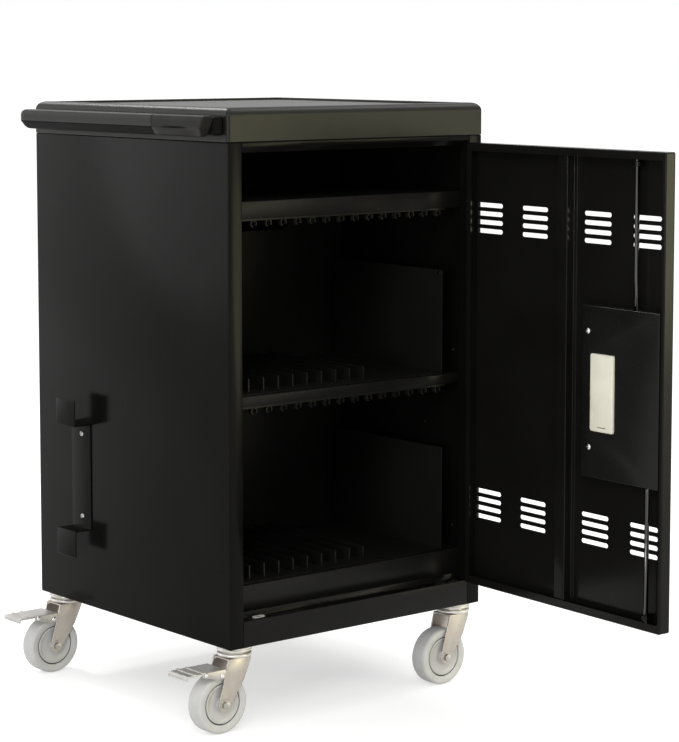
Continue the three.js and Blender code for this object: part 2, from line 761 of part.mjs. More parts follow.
// Bar with a raised face for each socket.
function powerStrip(level) {
  const front = PARTITION + SHEET + SEAM;
  const rear = front + STRIP_DEPTH;
  const middle = BASE + level - STRIP_LEVEL;
  const plate = (x, width, y1, height) =>
    box(x - width / 2, x + width / 2, front, y1, middle - height / 2, middle + height / 2);
  const sockets = Array.from({ length: SOCKET_COUNT }, (_, i) => {
    const x = (i - (SOCKET_COUNT - 1) / 2) * SOCKET_PITCH;
    return plate(x, SOCKET_SIZE, rear + SOCKET_RAISE, SOCKET_SIZE);
  });
  return join(plate(0, STRIP_LENGTH, rear, STRIP_HEIGHT), ...sockets);
}

const ROCKER_X = INLET_X + INLET_WIDTH / 2 - ROCKER_WIDTH / 2 - INLET_FLANGE;
const ROCKER_Y = BACK - ROCKER_DEPTH / 2;
const ROCKER_HALF = ROCKER_HEIGHT / 2;

function powerInlet() {
  const halfWidth = INLET_WIDTH / 2;
  const halfHeight = INLET_HEIGHT / 2;
  const face = BACK + SEAM + INLET_FLANGE_THICKNESS;
  const socketX = INLET_X - halfWidth + INLET_SOCKET_WIDTH / 2 + INLET_FLANGE;
  const body = join(
    box(
      INLET_X - halfWidth - INLET_FLANGE,
      INLET_X + halfWidth + INLET_FLANGE,
      BACK + SEAM,
      face,
      INLET_Z - halfHeight - INLET_FLANGE,
      INLET_Z + halfHeight + INLET_FLANGE,
    ),
    box(
      INLET_X - halfWidth,
      INLET_X + halfWidth,
      BACK - INLET_BODY_DEPTH,
      face,
      INLET_Z - halfHeight,
      INLET_Z + halfHeight,
    ),
  );
  const rockerHalfWidth = ROCKER_WIDTH / 2 + ROCKER_CLEAR;
  const rockerHalfHeight = ROCKER_HALF + ROCKER_CLEAR;
  const reach = ROCKER_DEPTH + 2 * ROCKER_CLEAR;
  return cut(
    body,
    box(
      socketX - INLET_SOCKET_WIDTH / 2,
      socketX + INLET_SOCKET_WIDTH / 2,
      face - INLET_SOCKET_DEPTH,
      face + INLET_SOCKET_DEPTH,
      INLET_Z - INLET_SOCKET_HEIGHT / 2,
      INLET_Z + INLET_SOCKET_HEIGHT / 2,
    ),
    box(
      ROCKER_X - rockerHalfWidth,
      ROCKER_X + rockerHalfWidth,
      ROCKER_Y - reach,
      face + reach,
      INLET_Z - rockerHalfHeight,
      INLET_Z + rockerHalfHeight,
    ),
  );
}

// Rocker with a shallow V face, on a pin across its middle, tilted to one side.
function powerRocker() {
  const half = ROCKER_WIDTH / 2;
  const rise = half * Math.tan(THREE.MathUtils.degToRad(ROCKER_TILT));
  const face = ROCKER_DEPTH / 2;
  const profile = outline([
    [-half, face + rise],
    [-half / 2, -face],
    [half / 2, -face],
    [half, face + rise],
    [0, face],
  ]);
  const pinEnd = ROCKER_HALF + ROCKER_CLEAR - SEAM;
  return join(
    raise(profile, -ROCKER_HALF, ROCKER_HALF),
    rodAlongZ(ROCKER_PIN_RADIUS, 0, 0, -pinEnd, pinEnd),
  )
    .rotateZ(THREE.MathUtils.degToRad(ROCKER_TILT))
    .translate(ROCKER_X, ROCKER_Y, INLET_Z);
}

add(cart, "lower_power_strip", powerStrip(MIDDLE_LEVEL), blackPlastic);
add(cart, "upper_power_strip", powerStrip(TOP_LEVEL), blackPlastic);
add(cart, "power_inlet", powerInlet(), blackPlastic);
const rockerBody = turning(cart, "power_rocker_axis", ROCKER_X, ROCKER_Y, INLET_Z);
add(rockerBody, "power_rocker", powerRocker(), blackPlastic);

// Front door

const HINGE_X = STILE_EDGE + HINGE_AXIS_IN;
const HINGE_Y = FRONT - HINGE_AXIS_OUT;
const doorTurn = THREE.MathUtils.degToRad(DOOR_OPEN);
const frontDoor = turning(cart, "front_door_axis", HINGE_X, HINGE_Y, DOOR_BOTTOM, doorTurn);

function ventGroup(x, z) {
  return Array.from({ length: VENT_SLOTS }, (_, i) =>
    slot(
      x,
      z + (i - (VENT_SLOTS - 1) / 2) * VENT_PITCH,
      VENT_WIDTH,
      VENT_HEIGHT,
      FRONT - SHEET,
      FRONT + 2 * SHEET,
    ),
  );
}

// Pan with its walls folded back and their edges folded in, with vents, lock and cup openings.
function doorPan() {
  const inner = box(
    DOOR_LEFT + SHEET,
    DOOR_RIGHT - SHEET,
    FRONT + SHEET,
    DOOR_BACK - SHEET,
    DOOR_BOTTOM + SHEET,
    DOOR_TOP - SHEET,
  );
  const opening = box(
    DOOR_LEFT + DOOR_FREE_LIP,
    DOOR_RIGHT - DOOR_LIP,
    DOOR_BACK - 2 * SHEET,
    DOOR_BACK + SHEET,
    DOOR_BOTTOM + DOOR_LIP,
    DOOR_TOP - DOOR_LIP,
  );
  const vents = [VENT_OUTER, VENT_INNER, -VENT_INNER, -VENT_OUTER].flatMap((offset) => [
    ...ventGroup(DOOR_MIDDLE + VENT_SHIFT + offset, DOOR_TOP - VENT_TOP_LEVEL),
    ...ventGroup(DOOR_MIDDLE + VENT_SHIFT + offset, DOOR_BOTTOM + VENT_BOTTOM_LEVEL),
  ]);
  const cupX = LOCK_X + CUP_FROM_LOCK;
  const cupHalfWidth = CUP_WIDTH / 2 + SEAM;
  const cupHalfHeight = CUP_HEIGHT / 2 + SEAM;
  return cut(
    box(DOOR_LEFT, DOOR_RIGHT, FRONT, DOOR_BACK, DOOR_BOTTOM, DOOR_TOP),
    inner,
    opening,
    ...vents,
    box(
      cupX - cupHalfWidth,
      cupX + cupHalfWidth,
      FRONT - SHEET,
      FRONT + 2 * SHEET,
      LOCK_Z - cupHalfHeight,
      LOCK_Z + cupHalfHeight,
    ),
    rodAlongY(LOCK_BARREL_RADIUS + SEAM, LOCK_X, LOCK_Z, FRONT - SHEET, FRONT + 2 * SHEET),
    rodAlongZ(ROD_HOLE, UPPER_ROD_X, UPPER_ROD_Y, DOOR_TOP - 2 * SHEET, DOOR_TOP + SHEET),
    rodAlongZ(ROD_HOLE, LOWER_ROD_X, LOWER_ROD_Y, DOOR_BOTTOM - SHEET, DOOR_BOTTOM + 2 * SHEET),
  );
}

// Hat channel up the middle of the door.
function doorStiffener() {
  const half = STIFFENER_WIDTH / 2;
  const foot = half + STIFFENER_FLANGE;
  const skin = FRONT + SHEET + SEAM;
  const crown = skin + STIFFENER_DEPTH;
  const hat = [
    [-foot, skin],
    [SHEET - half, skin],
    [SHEET - half, crown - SHEET],
    [half - SHEET, crown - SHEET],
    [half - SHEET, skin],
    [foot, skin],
    [foot, skin + SHEET],
    [half, skin + SHEET],
    [half, crown],
    [-half, crown],
    [-half, skin + SHEET],
    [-foot, skin + SHEET],
  ];
  const inset = SHEET + SEAM;
  return raise(
    outline(hat.map(([x, y]) => [DOOR_MIDDLE + x, y])),
    DOOR_BOTTOM + inset,
    DOOR_TOP - inset,
  );
}

// Shallow box over the lock's crank and rods, with an opening for the cup.
function lockCover() {
  const left = LOCK_X - COVER_FREE_SIDE;
  const right = LOCK_X + COVER_HINGE_SIDE;
  const low = LOCK_Z - COVER_HALF_HEIGHT;
  const high = LOCK_Z + COVER_HALF_HEIGHT;
  const skin = FRONT + SHEET + SEAM;
  const cupX = LOCK_X + CUP_FROM_LOCK;
  const halfWidth = CUP_WIDTH / 2 + CUP_CLEAR;
  const halfHeight = CUP_HEIGHT / 2 + CUP_CLEAR;
  return cut(
    box(left, right, skin, DOOR_BACK, low, high),
    box(
      left + SHEET,
      right - SHEET,
      skin - SHEET,
      DOOR_BACK - SHEET,
      low + SHEET,
      high - SHEET,
    ),
    box(
      cupX - halfWidth,
      cupX + halfWidth,
      DOOR_BACK - 2 * SHEET,
      DOOR_BACK + SHEET,
      LOCK_Z - halfHeight,
      LOCK_Z + halfHeight,
    ),
    rodAlongZ(ROD_HOLE, UPPER_ROD_X, UPPER_ROD_Y, high - 2 * SHEET, high + SHEET),
    rodAlongZ(ROD_HOLE, LOWER_ROD_X, LOWER_ROD_Y, low - SHEET, low + 2 * SHEET),
  );
}

// Recessed pull, open to the front, with a flange round its mouth.
function pullCup() {
  const x = LOCK_X + CUP_FROM_LOCK;
  const halfWidth = CUP_WIDTH / 2;
  const halfHeight = CUP_HEIGHT / 2;
  const mouth = FRONT - SEAM - CUP_FLANGE_THICKNESS;
  return cut(
    join(
      box(
        x - halfWidth - CUP_FLANGE,
        x + halfWidth + CUP_FLANGE,
        mouth,
        FRONT - SEAM,
        LOCK_Z - halfHeight - CUP_FLANGE,
        LOCK_Z + halfHeight + CUP_FLANGE,
      ),
      box(
        x - halfWidth,
        x + halfWidth,
        mouth,
        FRONT + CUP_DEPTH,
        LOCK_Z - halfHeight,
        LOCK_Z + halfHeight,
      ),
    ),
    box(
      x - halfWidth + CUP_WALL,
      x + halfWidth - CUP_WALL,
      mouth - CUP_WALL,
      FRONT + CUP_DEPTH - CUP_WALL,
      LOCK_Z - halfHeight + CUP_WALL,
      LOCK_Z + halfHeight - CUP_WALL,
    ),
  );
}

// Rosette and barrel that the lock's plug turns in.
function lockBody() {
  const face = FRONT - SEAM - LOCK_ROSETTE_THICKNESS;
  const barrelEnd = FRONT + LOCK_BARREL_DEPTH;
  return cut(
    join(
      rodAlongY(LOCK_ROSETTE_RADIUS, LOCK_X, LOCK_Z, face, FRONT - SEAM),
      rodAlongY(LOCK_BARREL_RADIUS, LOCK_X, LOCK_Z, face, barrelEnd),
    ),
    rodAlongY(LOCK_PLUG_RADIUS + PIN_CLEAR, LOCK_X, LOCK_Z, face - SHEET, barrelEnd + SHEET),
  );
}

// Plug with its keyway, and the crank on its inner end with a pin for each rod.
function lockPlug() {
  const face = FRONT - SEAM - LOCK_ROSETTE_THICKNESS - LOCK_PLUG_PROUD;
  const crankBack = CRANK_FRONT + CRANK_THICKNESS;
  const arm = CRANK_RADIUS + CRANK_PIN_RADIUS + STRAP_WALL;
  const upperPinEnd = UPPER_STRAP_FRONT + STRAP_THICKNESS;
  const lowerPinEnd = LOWER_STRAP_FRONT + STRAP_THICKNESS;
  const pinFoot = CRANK_FRONT + CRANK_THICKNESS / 2;
  const plug = join(
    rodAlongY(LOCK_PLUG_RADIUS, LOCK_X, LOCK_Z, face, CRANK_FRONT + CRANK_THICKNESS / 2),
    box(
      LOCK_X - arm,
      LOCK_X + arm,
      CRANK_FRONT,
      crankBack,
      LOCK_Z - CRANK_WIDTH / 2,
      LOCK_Z + CRANK_WIDTH / 2,
    ),
    rodAlongY(CRANK_PIN_RADIUS, LOCK_X + CRANK_RADIUS, LOCK_Z, pinFoot, upperPinEnd),
    rodAlongY(CRANK_PIN_RADIUS, LOCK_X - CRANK_RADIUS, LOCK_Z, pinFoot, lowerPinEnd),
  );
  return cut(
    plug,
    box(
      LOCK_X - KEYWAY_WIDTH / 2,
      LOCK_X + KEYWAY_WIDTH / 2,
      face - KEYWAY_DEPTH,
      face + KEYWAY_DEPTH,
      LOCK_Z - KEYWAY_LENGTH / 2,
      LOCK_Z + KEYWAY_LENGTH / 2,
    ),
  );
}

// Rod with a slotted strap at its foot. The slot leaves room for the crank pin's arc, which the rod's
// straight travel doesn't follow. Way is 1 for the rod that goes up and -1 for the one that goes down.
function lockRod(way, strapFront, rodY, end) {
  const pinRoom = CRANK_PIN_RADIUS + STRAP_CLEAR;
  const arcRoom = CRANK_RADIUS / 4;
  const left = -pinRoom - STRAP_WALL;
  const right = ROD_OFFSET + ROD_RADIUS;
  const strapBack = strapFront + STRAP_THICKNESS;
  const flat = (x0, x1, y0, y1, z0, z1) =>
    box(
      LOCK_X + Math.min(way * x0, way * x1),
      LOCK_X + Math.max(way * x0, way * x1),
      y0,
      y1,
      LOCK_Z + Math.min(way * z0, way * z1),
      LOCK_Z + Math.max(way * z0, way * z1),
    );
  const foot = STRAP_LENGTH - 2 * ROD_RADIUS;
  const strap = join(
    flat(left, right, strapFront, strapBack, left, pinRoom + arcRoom + STRAP_WALL),
    flat(ROD_OFFSET - ROD_RADIUS, right, strapFront, strapBack, left, STRAP_LENGTH),
    rodAlongZ(
      ROD_RADIUS,
      LOCK_X + way * ROD_OFFSET,
      rodY,
      Math.min(LOCK_Z + way * foot, end),
      Math.max(LOCK_Z + way * foot, end),
      ROUND_SIDES - 4,
    ),
  );
  return cut(
    strap,
    flat(
      -pinRoom,
      CRANK_RADIUS + pinRoom,
      strapFront - SHEET,
      strapBack + SHEET,
      -pinRoom,
      pinRoom + arcRoom,
    ),
  );
}

// Leaf on one side of the hinge axis: a plate and its knuckles. Side is 1 for the frame and -1 for the door.
function hingeLeaf(side, middle, reach, knuckles) {
  const leafBack = FRONT - SEAM;
  const leafFront = leafBack - LEAF_THICKNESS;
  const start = KNUCKLE_RADIUS + KNUCKLE_GAP;
  const plate = (x0, x1, z0, z1) =>
    box(
      HINGE_X + Math.min(side * x0, side * x1),
      HINGE_X + Math.max(side * x0, side * x1),
      leafFront,
      leafBack,
      z0,
      z1,
    );
  const half = HINGE_LENGTH / 2;
  const pieces = knuckles.flatMap(([z0, z1]) => [
    plate(0, start + SHEET, middle + z0, middle + z1),
    rodAlongZ(KNUCKLE_RADIUS, HINGE_X, HINGE_Y, middle + z0, middle + z1),
  ]);
  const bore = HINGE_PIN_RADIUS + PIN_CLEAR;
  return cut(
    join(plate(start, reach, middle - half, middle + half), ...pieces),
    rodAlongZ(bore, HINGE_X, HINGE_Y, middle - HINGE_LENGTH, middle + HINGE_LENGTH),
  );
}

function hingePin(middle) {
  const half = HINGE_LENGTH / 2;
  return join(
    rodAlongZ(HINGE_PIN_RADIUS, HINGE_X, HINGE_Y, middle - half, middle + half + PIN_HEAD),
    rodAlongZ(PIN_HEAD_RADIUS, HINGE_X, HINGE_Y, middle + half + SEAM, middle + half + PIN_HEAD),
  );
}

function addHinge(label, middle) {
  const half = HINGE_LENGTH / 2;
  const inner = MIDDLE_KNUCKLE / 2;
  const outer = inner + KNUCKLE_GAP;
  const frameKnuckles = [
    [-half, -outer],
    [outer, half],
  ];
  add(
    cart,
    `hinge_frame_leaf_${label}`,
    hingeLeaf(1, middle, FRAME_LEAF_REACH, frameKnuckles),
    blackPaint,
  );
  add(cart, `hinge_pin_${label}`, hingePin(middle), steel);
  add(
    frontDoor,
    `hinge_door_leaf_${label}`,
    hingeLeaf(-1, middle, DOOR_LEAF_REACH, [[-inner, inner]]),
    blackPaint,
  );
}

add(frontDoor, "door_pan", doorPan(), blackPaint);
add(frontDoor, "door_stiffener", doorStiffener(), blackPaint);
add(frontDoor, "lock_cover", lockCover(), blackPaint);
add(frontDoor, "pull_cup", pullCup(), creamPlastic);
add(frontDoor, "lock_body", lockBody(), steel);
const lockTurn = turning(frontDoor, "lock_axis", LOCK_X, FRONT, LOCK_Z);
add(lockTurn, "lock_plug", lockPlug(), steel);
const upperRodEnd = DOOR_TOP - ROD_END_INSET;
const lowerRodEnd = DOOR_BOTTOM + ROD_END_INSET;
add(frontDoor, "lock_rod_upper", lockRod(1, UPPER_STRAP_FRONT, UPPER_ROD_Y, upperRodEnd), steel);
add(frontDoor, "lock_rod_lower", lockRod(-1, LOWER_STRAP_FRONT, LOWER_ROD_Y, lowerRodEnd), steel);
addHinge("upper", DOOR_TOP - HINGE_END);
addHinge("lower", DOOR_BOTTOM + HINGE_END);

// Rear door

const rearDoor = turning(cart, "rear_door_axis", REAR_PIVOT_X, REAR_PIVOT_Y, DOOR_BOTTOM);
const REAR_LOCK_X = REAR_RIGHT - REAR_LOCK_FROM_EDGE;
const REAR_LOCK_Z = (DOOR_BOTTOM + DOOR_TOP) / 2;

// Pan with vents, a hole for its lock and a pivot pin at the top and bottom of its hinge side.
function rearDoorPan() {
  const pan = cut(
    box(REAR_LEFT, REAR_RIGHT, REAR_FACE, BACK, DOOR_BOTTOM, DOOR_TOP),
    box(
      REAR_LEFT + SHEET,
      REAR_RIGHT - SHEET,
      REAR_FACE - SHEET,
      BACK - SHEET,
      DOOR_BOTTOM + SHEET,
      DOOR_TOP - SHEET,
    ),
  );
  const vents = [DOOR_TOP - REAR_VENT_LEVEL, DOOR_BOTTOM + REAR_VENT_LEVEL].flatMap((level) =>
    [-1, 1].flatMap((side) =>
      Array.from({ length: REAR_VENT_SLOTS }, (_, i) =>
        slot(
          (side * REAR_VENT_WIDTH * 3) / 4,
          level + (i - (REAR_VENT_SLOTS - 1) / 2) * VENT_PITCH,
          REAR_VENT_WIDTH,
          VENT_HEIGHT,
          BACK - 2 * SHEET,
          BACK + SHEET,
        ),
      ),
    ),
  );
  const pinRoot = 3 * REAR_PIN_RADIUS;
  const pinReach = DOOR_GAP + SHEET;
  const pins = [
    rodAlongZ(
      REAR_PIN_RADIUS,
      REAR_PIVOT_X,
      REAR_PIVOT_Y,
      DOOR_TOP - pinRoot,
      DOOR_TOP + pinReach,
    ),
    rodAlongZ(
      REAR_PIN_RADIUS,
      REAR_PIVOT_X,
      REAR_PIVOT_Y,
      DOOR_BOTTOM - pinReach,
      DOOR_BOTTOM + pinRoot,
    ),
  ];
  return join(
    cut(
      pan,
      ...vents,
      rodAlongY(
        REAR_LOCK_RADIUS + PIN_CLEAR,
        REAR_LOCK_X,
        REAR_LOCK_Z,
        BACK - 2 * SHEET,
        BACK + SHEET,
      ),
    ),
    ...pins,
  );
}

// Cam lock: head outside, barrel through the door, tongue upright when unlocked.
function rearLock() {
  const face = BACK + SEAM + REAR_LOCK_HEAD;
  const camFront = BACK - REAR_LOCK_LENGTH - REAR_CAM_THICKNESS;
  return cut(
    join(
      rodAlongY(REAR_LOCK_HEAD_RADIUS, REAR_LOCK_X, REAR_LOCK_Z, BACK + SEAM, face),
      rodAlongY(REAR_LOCK_RADIUS, REAR_LOCK_X, REAR_LOCK_Z, camFront, face),
      box(
        REAR_LOCK_X - REAR_CAM_WIDTH / 2,
        REAR_LOCK_X + REAR_CAM_WIDTH / 2,
        camFront,
        camFront + REAR_CAM_THICKNESS,
        REAR_LOCK_Z - REAR_CAM_WIDTH / 2,
        REAR_LOCK_Z - REAR_CAM_WIDTH / 2 + REAR_CAM_LENGTH,
      ),
    ),
    box(
      REAR_LOCK_X - KEYWAY_WIDTH / 2,
      REAR_LOCK_X + KEYWAY_WIDTH / 2,
      face - KEYWAY_DEPTH,
      face + KEYWAY_DEPTH,
      REAR_LOCK_Z - KEYWAY_LENGTH / 2,
      REAR_LOCK_Z + KEYWAY_LENGTH / 2,
    ),
  );
}

add(rearDoor, "rear_door", rearDoorPan(), blackPaint);
const rearLockTurn = turning(rearDoor, "rear_lock_axis", REAR_LOCK_X, BACK, REAR_LOCK_Z);
add(rearLockTurn, "rear_lock", rearLock(), steel);

// Casters, each built round its own swivel axis, with the wheel trailing towards -X

const PLATE_BOTTOM = BASE - SEAM - CASTER_PLATE_THICKNESS;
const RACE_BOTTOM = PLATE_BOTTOM - RACE_HEIGHT;
const FORK_TOP = RACE_BOTTOM - RACE_GAP;
const FORK_UNDER = FORK_TOP - FORK_SHEET;
const FORK_INNER = WHEEL_WIDTH / 2 + WHEEL_SIDE_GAP;
const FORK_OUTER = FORK_INNER + FORK_SHEET;

// Top plate with the grooved bearing race under it and the king pin through the fork.
function casterPlate() {
  const pinEnd = FORK_UNDER - RACE_GAP - KING_PIN_HEAD;
  const neck = RACE_RADIUS - RACE_GROOVE_DEPTH;
  const groove = RACE_BOTTOM + RACE_LOWER_HEIGHT;
  const top = PLATE_BOTTOM + CASTER_PLATE_THICKNESS / 2;
  return join(
    rodAlongZ(CASTER_PLATE_RADIUS, 0, 0, PLATE_BOTTOM, BASE - SEAM, WHEEL_SIDES),
    rodAlongZ(RACE_RADIUS, 0, 0, groove + RACE_GROOVE, top, WHEEL_SIDES),
    rodAlongZ(neck, 0, 0, RACE_BOTTOM, top, WHEEL_SIDES),
    rodAlongZ(RACE_RADIUS, 0, 0, RACE_BOTTOM, groove, WHEEL_SIDES),
    rodAlongZ(KING_PIN_RADIUS, 0, 0, pinEnd, PLATE_BOTTOM),
    rodAlongZ(KING_PIN_HEAD_RADIUS, 0, 0, pinEnd, pinEnd + KING_PIN_HEAD),
  );
}

function forkLeg() {
  const shape = new THREE.Shape();
  shape.moveTo(FORK_FRONT, FORK_TOP);
  shape.lineTo(-FORK_REAR, FORK_TOP);
  shape.lineTo(-CASTER_TRAIL - FORK_END_RADIUS, WHEEL_RADIUS);
  shape.absarc(-CASTER_TRAIL, WHEEL_RADIUS, FORK_END_RADIUS, Math.PI, 2 * Math.PI);
  shape.lineTo(FORK_FRONT, FORK_TOP - FORK_SHOULDER);
  return shape;
}

// Ear that carries the pedal, from the fork's leg to the pedal's pivot.
function forkEar() {
  const shape = new THREE.Shape();
  shape.moveTo(-FORK_REAR, PEDAL_PIVOT_LEVEL + EAR_RADIUS);
  shape.lineTo(-PEDAL_PIVOT_BACK, PEDAL_PIVOT_LEVEL + EAR_RADIUS);
  shape.absarc(-PEDAL_PIVOT_BACK, PEDAL_PIVOT_LEVEL, EAR_RADIUS, Math.PI / 2, 1.5 * Math.PI);
  shape.lineTo(-FORK_REAR, PEDAL_PIVOT_LEVEL - EAR_RADIUS);
  return shape;
}

// Horn over the wheel with a leg on each side, and ears for a pedal where it has one.
function casterFork(braked) {
  const plates = braked ? [forkLeg(), forkEar()] : [forkLeg()];
  const sides = plates.flatMap((shape) => [
    drawOut(shape, -FORK_OUTER, -FORK_INNER, { curveSegments: 3 }),
    drawOut(shape, FORK_INNER, FORK_OUTER, { curveSegments: 3 }),
  ]);
  const holes = [
    rodAlongZ(KING_PIN_RADIUS + PIN_CLEAR, 0, 0, FORK_UNDER - SHEET, FORK_TOP + SHEET),
    rodAlongY(
      AXLE_RADIUS + AXLE_CLEAR,
      -CASTER_TRAIL,
      WHEEL_RADIUS,
      -2 * FORK_OUTER,
      2 * FORK_OUTER,
    ),
  ];
  if (braked)
    holes.push(
      rodAlongY(
        PEDAL_PIN_RADIUS + PEDAL_PIN_CLEAR,
        -PEDAL_PIVOT_BACK,
        PEDAL_PIVOT_LEVEL,
        -2 * FORK_OUTER,
        2 * FORK_OUTER,
      ),
    );
  const horn = box(-FORK_REAR, FORK_FRONT, -FORK_OUTER, FORK_OUTER, FORK_UNDER, FORK_TOP);
  return cut(join(horn, ...sides), ...holes);
}

// Wheel pieces turn about Y, through the axle.
function tyre() {
  const half = WHEEL_WIDTH / 2;
  const inner = HUB_RADIUS + SEAM;
  const profile = [
    [inner, -HUB_WIDTH / 2],
    [WHEEL_RADIUS - 1.5 * TYRE_EDGE, -half],
    [WHEEL_RADIUS - TYRE_EDGE / 3, -half + TYRE_EDGE],
    [WHEEL_RADIUS, -half + 2 * TYRE_EDGE],
    [WHEEL_RADIUS, half - 2 * TYRE_EDGE],
    [WHEEL_RADIUS - TYRE_EDGE / 3, half - TYRE_EDGE],
    [WHEEL_RADIUS - 1.5 * TYRE_EDGE, half],
    [inner, HUB_WIDTH / 2],
  ];
  return lathe(profile).translate(-CASTER_TRAIL, 0, WHEEL_RADIUS);
}

function hub() {
  const half = HUB_WIDTH / 2;
  const dish = half - HUB_DISH;
  const boss = WHEEL_WIDTH / 2 + WHEEL_SIDE_GAP - SEAM;
  const bore = AXLE_RADIUS + AXLE_CLEAR;
  const rim = HUB_RADIUS - HUB_RIM;
  const profile = [
    [bore, -boss],
    [HUB_BOSS_RADIUS, -boss],
    [HUB_BOSS_RADIUS, -dish],
    [rim - HUB_DISH / 2, -dish],
    [rim, -half],
    [HUB_RADIUS, -half],
    [HUB_RADIUS, half],
    [rim, half],
    [rim - HUB_DISH / 2, dish],
    [HUB_BOSS_RADIUS, dish],
    [HUB_BOSS_RADIUS, boss],
    [bore, boss],
  ];
  return lathe(profile).translate(-CASTER_TRAIL, 0, WHEEL_RADIUS);
}

// Bolt through the fork, with a hexagon head and nut.
function axle() {
  const face = FORK_OUTER + SEAM;
  const end = face + AXLE_HEAD;
  const bolt = (radius, y0, y1, sides) =>
    rodAlongY(radius, -CASTER_TRAIL, WHEEL_RADIUS, y0, y1, sides);
  return join(
    bolt(AXLE_RADIUS, -end, end),
    bolt(AXLE_HEAD_RADIUS, -end, -face, 6),
    bolt(AXLE_HEAD_RADIUS, face, end, 6),
  );
}

// Brake pedal: a ribbed tread with its tip turned down, over the fork's ears, and a cheek on each
// side with its pin in an ear.
function brakePedal() {
  const inner = FORK_OUTER + PEDAL_SIDE_GAP;
  const outer = inner + PEDAL_SHEET;
  const x = -PEDAL_PIVOT_BACK;
  const z = PEDAL_PIVOT_LEVEL;
  const tip = x - PEDAL_REACH;
  const under = z + EAR_RADIUS + PEDAL_EAR_GAP;
  const top = under + PEDAL_SHEET;
  const foot = z - EAR_RADIUS;
  const rib = (start) => {
    const end = start + PEDAL_RIB_WIDTH;
    return [
      [x - start, top],
      [x - start, top + PEDAL_RIB],
      [x - end, top + PEDAL_RIB],
      [x - end, top],
    ];
  };
  const tread = outline([
    [x + PEDAL_HEEL, top],
    ...rib(PEDAL_FIRST_RIB),
    ...rib(PEDAL_FIRST_RIB + PEDAL_RIB_PITCH),
    [tip, top],
    [tip - PEDAL_SHEET, under],
    [tip - PEDAL_SHEET, under - PEDAL_LIP],
    [tip, under - PEDAL_LIP],
    [tip, under],
    [x + PEDAL_HEEL, under],
  ]);
  const cheek = outline([
    [x + PEDAL_HEEL, top],
    [x - PEDAL_CHEEK, top],
    [x - PEDAL_CHEEK, top - PEDAL_CHEEK_END],
    [x - EAR_RADIUS, foot],
    [x + PEDAL_HEEL, foot],
  ]);
  return join(
    drawOut(tread, -outer, outer),
    drawOut(cheek, -outer, -inner),
    drawOut(cheek, inner, outer),
    rodAlongY(PEDAL_PIN_RADIUS, x, z, -outer, -FORK_INNER),
    rodAlongY(PEDAL_PIN_RADIUS, x, z, FORK_INNER, outer),
  );
}

function addCaster(label, x, y, braked) {
  const place = new THREE.Group();
  place.position.set(x, y, 0);
  cart.add(place);
  add(place, `caster_plate_${label}`, casterPlate(), zincSteel);
  const swivel = turning(place, `caster_swivel_${label}`, 0, 0, FORK_TOP);
  add(swivel, `caster_fork_${label}`, casterFork(braked), zincSteel);
  add(swivel, `caster_axle_${label}`, axle(), steel);
  const wheel = turning(swivel, `caster_wheel_${label}`, -CASTER_TRAIL, 0, WHEEL_RADIUS);
  add(wheel, `caster_tyre_${label}`, tyre(), greyTyre);
  add(wheel, `caster_hub_${label}`, hub(), greyHub);
  if (!braked) return;
  const pedal = turning(
    swivel,
    `caster_pedal_${label}`,
    -PEDAL_PIVOT_BACK,
    0,
    PEDAL_PIVOT_LEVEL,
  );
  add(pedal, `brake_pedal_${label}`, brakePedal(), zincSteel);
}

const CASTER_X = HALF_WIDTH - CASTER_INSET;
const CASTER_Y = BODY_DEPTH / 2 - CASTER_INSET;
addCaster("front_left", -CASTER_X, -CASTER_Y, true);
addCaster("front_right", CASTER_X, -CASTER_Y, false);
addCaster("rear_left", -CASTER_X, CASTER_Y, true);
addCaster("rear_right", CASTER_X, CASTER_Y, false);

// Stand the cart on the floor with the middle of its footprint at the origin.
const bounds = new THREE.Box3().setFromObject(cart, true);
cart.position.set(
  -(bounds.min.x + bounds.max.x) / 2,
  -(bounds.min.y + bounds.max.y) / 2,
  -bounds.min.z,
);

export default cart;
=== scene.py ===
"""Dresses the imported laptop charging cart: finishes, fine pieces and a plain studio round it."""

import json
import logging
import math
from dataclasses import dataclass, field
from enum import Enum
from functools import cache
from typing import Callable, Iterable, Sequence

import bmesh
import bpy
from mathutils import Matrix, Vector

